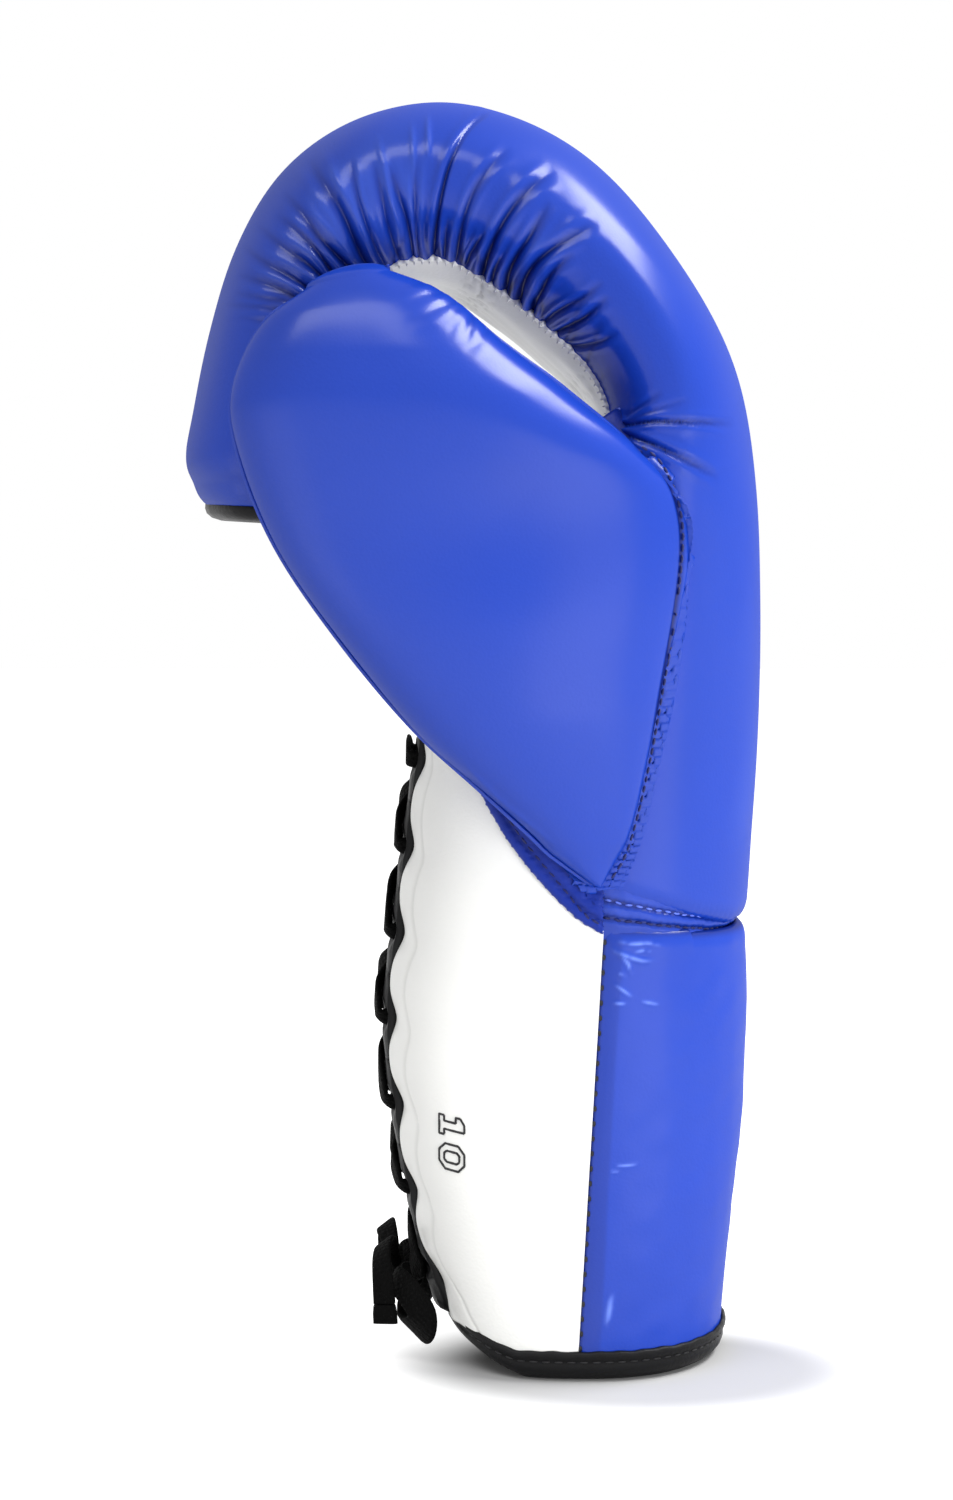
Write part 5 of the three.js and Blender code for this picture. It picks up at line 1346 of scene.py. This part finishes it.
def liningPoint(shares, angles, extra=0.0):
    padded = rise(shares, liningSizes["padStart"], liningSizes["padFull"])
    fixed = liningSizes["skin"] + liningSizes["gap"] + extra
    back = fixed + mix(liningSizes["cuffFoam"], liningSizes["backFoam"], padded)
    side = fixed + mix(liningSizes["cuffFoam"], liningSizes["sideFoam"], padded)
    palm = fixed + mix(liningSizes["cuffFoam"], 0, padded)
    return glovePoint(shares, angles, back, palm, side, padded)


turns = np.linspace(0, 2 * math.pi, 96, endpoint=False)
starts = shareAtEdge(turns, mittLowZ, 8.0)
steps = np.linspace(0, 1, 150)[:, None]
shares = starts[None] + (liningSizes["endShare"] - starts[None]) * steps
liningBase = liningPoint(shares, turns[None])
liningEnd = [mix(liningBase[-1], liningBase[-1].mean(axis=0), share) for share in (0.3, 0.6, 0.85, 0.98)]
liningBase = np.concatenate([liningBase, np.array(liningEnd)])
handLining, _ = addShell("handLining", liningBase, 0.2 * softNoise(liningBase, 24, 81) - 0.2, 0.8, wrap=True)
dress(handLining, liningCloth, body="mitt", stands=["hand_lining"])
limit = float(angleAtY(0.1, 17)[0])
turns = np.linspace(-limit, limit, 150)
low = shareAtZ(4 + hemLift(glovePoint(shareAtZ(2.4), turns)[:, 0]))
shares = low[None] + (shareAtEdge(turns, lambda x: cuffTopZ(x) - 1) - low)[None] * steps
cuffLiningBase = liningPoint(shares, turns[None])
cuffLining, _ = addShell("cuffLining", cuffLiningBase, 0.2 * softNoise(cuffLiningBase, 24, 82) - 0.2, 0.8)
dress(cuffLining, liningCloth, body="cuff", stands=["cuff_lining"])


def softCopy(name, node, voxel, finish, body, inset):
    # A padding, from the space that the frame keeps for it, rounded off as foam is and drawn in below its leather
    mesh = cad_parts[node].data.copy()
    mesh.materials.clear()
    piece = bpy.data.objects.new(name, mesh)
    bpy.context.collection.objects.link(piece)
    remesh = piece.modifiers.new("remesh", "REMESH")
    remesh.mode = "VOXEL"
    remesh.voxel_size = voxel * mm
    smoothing = piece.modifiers.new("smooth", "SMOOTH")
    smoothing.factor = 0.5
    smoothing.iterations = 6
    bpy.context.view_layer.update()
    final = bpy.data.meshes.new_from_object(piece.evaluated_get(bpy.context.evaluated_depsgraph_get()))
    piece.modifiers.clear()
    piece.data = final
    spots, normals = np.zeros(len(final.vertices) * 3), np.zeros(len(final.vertices) * 3)
    final.vertices.foreach_get("co", spots)
    final.vertices.foreach_get("normal", normals)
    spots = (spots.reshape(-1, 3) - normals.reshape(-1, 3) * inset * mm) / mm - gloveShift
    if body == "cuff":
        spots[:, 2] += (hemLift(spots[:, 0]) + 2) * (1 - rise(spots[:, 2], 4, 40))
    final.vertices.foreach_set("co", ((spots + gloveShift) * mm).ravel())
    final.polygons.foreach_set("use_smooth", [True] * len(final.polygons))
    return dress(piece, finish, body=body, stands=[node])


for name, node, voxel, body, fill, inset in (
        ("fistPadding", "fist_foam", 2.4, "mitt", 0.9, 2.5), ("gripRoll", "grip_bar", 1.2, "mitt", 0.9, 0.2),
        ("thumbPadding", "thumb_foam", 1.8, "thumb", 0.9, 2.5), ("cuffBackPadding", "cuff_back_foam", 1.4, "cuff", 0.8, 0.8),
        ("thumbSidePadding", "cuff_side_foam_thumb", 1.3, "cuff", 0.8, 0.8),
        ("fingerSidePadding", "cuff_side_foam_finger", 1.3, "cuff", 0.8, 0.8)):
    softCopy(name, node, voxel, foamFill, body, inset)
pocketShares = np.linspace(0.19, 0.72, 60)[:, None]
pocketTurns = np.linspace(2 * math.pi, 0, 48, endpoint=False)[None]
lower, upper = along(lowerRail, pocketShares), along(upperRail, pocketShares)
axis = unit(upper - lower)
out = unit(np.array([0, -1.0, 0]) + axis * axis[..., 1:2])
swell = along(swellRail, pocketShares)
half = np.linalg.norm(upper - lower, axis=-1) * 0.2 * np.minimum(1, (0.74 - pocketShares[:, 0:1]) / 0.06) ** 0.5
shut = mix(-5, 6, rise(pocketShares, 0.2, 0.36))
depth = np.where(np.sin(pocketTurns) > 0, swell[..., 0] - 10.5, swell[..., 1] - shut)
radius = (np.abs(np.cos(pocketTurns)) ** 2.3 + np.abs(np.sin(pocketTurns)) ** 2.3) ** (-1 / 2.3)
pocket = ((lower + upper) / 2 + axis * (half * radius * np.cos(pocketTurns))[..., None]
          + out * (depth * radius * np.sin(pocketTurns))[..., None])
clearOf = mittDepth(pocket[..., 0], pocket[..., 2]) + 1.2
pocket[..., 1] = np.minimum(pocket[..., 1], -clearOf)
thumbLining, _ = addShell("thumbLining", pocket, 0, 0.8, wrap=True)
dress(thumbLining, liningCloth, body="thumb", stands=["thumb_lining"])
print("glove: linings and paddings made")

# The plain number on the white panel: outlined block figures that read downwards
numberSizes = {"x": -39.8, "topZ": 64.4, "high": 6, "wide": 6.2, "gap": 1.4, "line": 0.29, "proud": 0.08, "slant": 0.16}
figureShares = {
    "1": [[(0.12, 0), (0.88, 0), (0.88, 0.2), (0.66, 0.2), (0.66, 1), (0.36, 1), (0.12, 0.84), (0.12, 0.66), (0.34, 0.66),
           (0.34, 0.2), (0.12, 0.2)]],
    "0": [[(0.28, 0), (0.72, 0), (1, 0.24), (1, 0.76), (0.72, 1), (0.28, 1), (0, 0.76), (0, 0.24)],
          [(0.38, 0.2), (0.62, 0.2), (0.72, 0.3), (0.72, 0.7), (0.62, 0.8), (0.38, 0.8), (0.28, 0.7), (0.28, 0.3)]],
}
strokes = []
for turn, figure in enumerate("10"):
    for outline in figureShares[figure]:
        across = np.array([p[0] for p in outline + outline[:1]])
        up = np.array([p[1] for p in outline + outline[:1]])
        x = numberSizes["x"] + up * numberSizes["high"]
        z = numberSizes["topZ"] - turn * (numberSizes["wide"] + numberSizes["gap"]) - across * numberSizes["wide"]
        z = z - numberSizes["slant"] * up * numberSizes["high"]
        for k in range(len(x) - 1):
            xs, zs = np.linspace(x[k], x[k + 1], 8), np.linspace(z[k], z[k + 1], 8)
            nearest = np.hypot(numberedPanel[:, 0] - xs[:, None], numberedPanel[:, 2] - zs[:, None]).argmin(axis=1)
            ys = numberedPanel[nearest, 1] - numberSizes["proud"]
            path = np.stack([xs, ys, zs], axis=1)
            strokes.append(ringsMesh(tubeAlong(path, numberSizes["line"], 6)))
number = addMesh("weightNumber", *joinMeshes(strokes))
dress(number, blackThread, body="cuff")
print("glove: number made")


# Floor, surroundings and light
# The floor glows white where it is seen, except in an ellipse around the hem where the glow fades out: a painted shadow
# laid over the real one
floorSizes = {"half": 4.0, "nearGlow": 0.0, "nearAt": 0.038, "farAt": 0.072, "depthShare": 0.7}
paintedShadowMiddle = Vector(place((8, -27, 0)))
h = floorSizes["half"]
floorMesh = bpy.data.meshes.new("floor")
floorMesh.from_pydata([(-h, -h, 0), (h, -h, 0), (h, h, 0), (-h, h, 0)], [], [(0, 1, 2, 3)])
floor = bpy.data.objects.new("floor", floorMesh)
floor.location = (paintedShadowMiddle.x, paintedShadowMiddle.y, 0)
bpy.context.collection.objects.link(floor)


def seenRays(tree):
    # 1 for the rays that see a surface directly or mirrored, 0 for the light that it gives
    rays = addNode(tree, "LightPath").outputs
    seen = math2(tree, "MAXIMUM", rays["Is Camera Ray"], rays["Is Glossy Ray"])
    return math2(tree, "MAXIMUM", seen, rays["Is Transmission Ray"])


paleFloor = bpy.data.materials.new("paleFloor")
paleFloor.use_nodes = True
tree = paleFloor.node_tree
shader = tree.nodes["Principled BSDF"]
shader.inputs["Base Color"].default_value = (0.5, 0.5, 0.5, 1)
shader.inputs["Roughness"].default_value = 0.9
shader.inputs["Specular IOR Level"].default_value = 0.1
shader.inputs["Emission Color"].default_value = (1, 1, 1, 1)
drawn = addNode(tree, "VectorMath", {0: addNode(tree, "TexCoord").outputs["Object"], 1: (1, 1 / floorSizes["depthShare"], 1)},
                operation="MULTIPLY").outputs["Vector"]
away = addNode(tree, "VectorMath", {0: drawn}, operation="LENGTH").outputs["Value"]
glow = addNode(tree, "MapRange", {0: away, 1: floorSizes["nearAt"], 2: floorSizes["farAt"], 3: floorSizes["nearGlow"], 4: 1.0},
               interpolation_type="SMOOTHSTEP").outputs[0]
tree.links.new(math2(tree, "MULTIPLY", seenRays(tree), glow), shader.inputs["Emission Strength"])
floorMesh.materials.append(paleFloor)

world = bpy.data.worlds.new("studio")
bpy.context.scene.world = world
world.use_nodes = True
tree = world.node_tree
ambient = {"seen": 1.0, "unseen": 0.34}
strength = addNode(tree, "MapRange", {0: seenRays(tree), 1: 0.0, 2: 1.0, 3: ambient["unseen"], 4: ambient["seen"]})
tree.links.new(strength.outputs[0], tree.nodes["Background"].inputs["Strength"])
tree.nodes["Background"].inputs["Color"].default_value = (1, 1, 1, 1)

# A long softbox on the right, a low one in front on the right and weaker ones around: directions and distances in metres
lamps = {
    "key": {"way": (0.59, 0.07, 0.75), "far": 1.15, "power": 16, "size": (0.95, 0.28)},
    "low": {"way": (0.25, -0.30, -0.08), "far": 0.40, "power": 1.3, "size": (0.22, 0.2)},
    "lowLeft": {"way": (-0.32, -0.26, -0.1), "far": 0.42, "power": 0.5, "size": (0.2, 0.2)},
    "high": {"way": (-0.2, -0.52, 0.8), "far": 1.15, "power": 6.0, "size": (1.1, 0.42)},
}
aim = Vector(place((-20, 0, 160)))
for name, lamp in lamps.items():
    light = bpy.data.lights.new(name, "AREA")
    light.shape = "RECTANGLE"
    light.size, light.size_y = lamp["size"]
    light.energy = lamp["power"]
    source = bpy.data.objects.new(name, light)
    bpy.context.collection.objects.link(source)
    source.location = aim + Vector(lamp["way"]).normalized() * lamp["far"]
    source.rotation_euler = (aim - source.location).to_track_quat("-Z", "Y").to_euler()
    source.visible_glossy = not name.startswith("low")
print("glove: floor and light set")
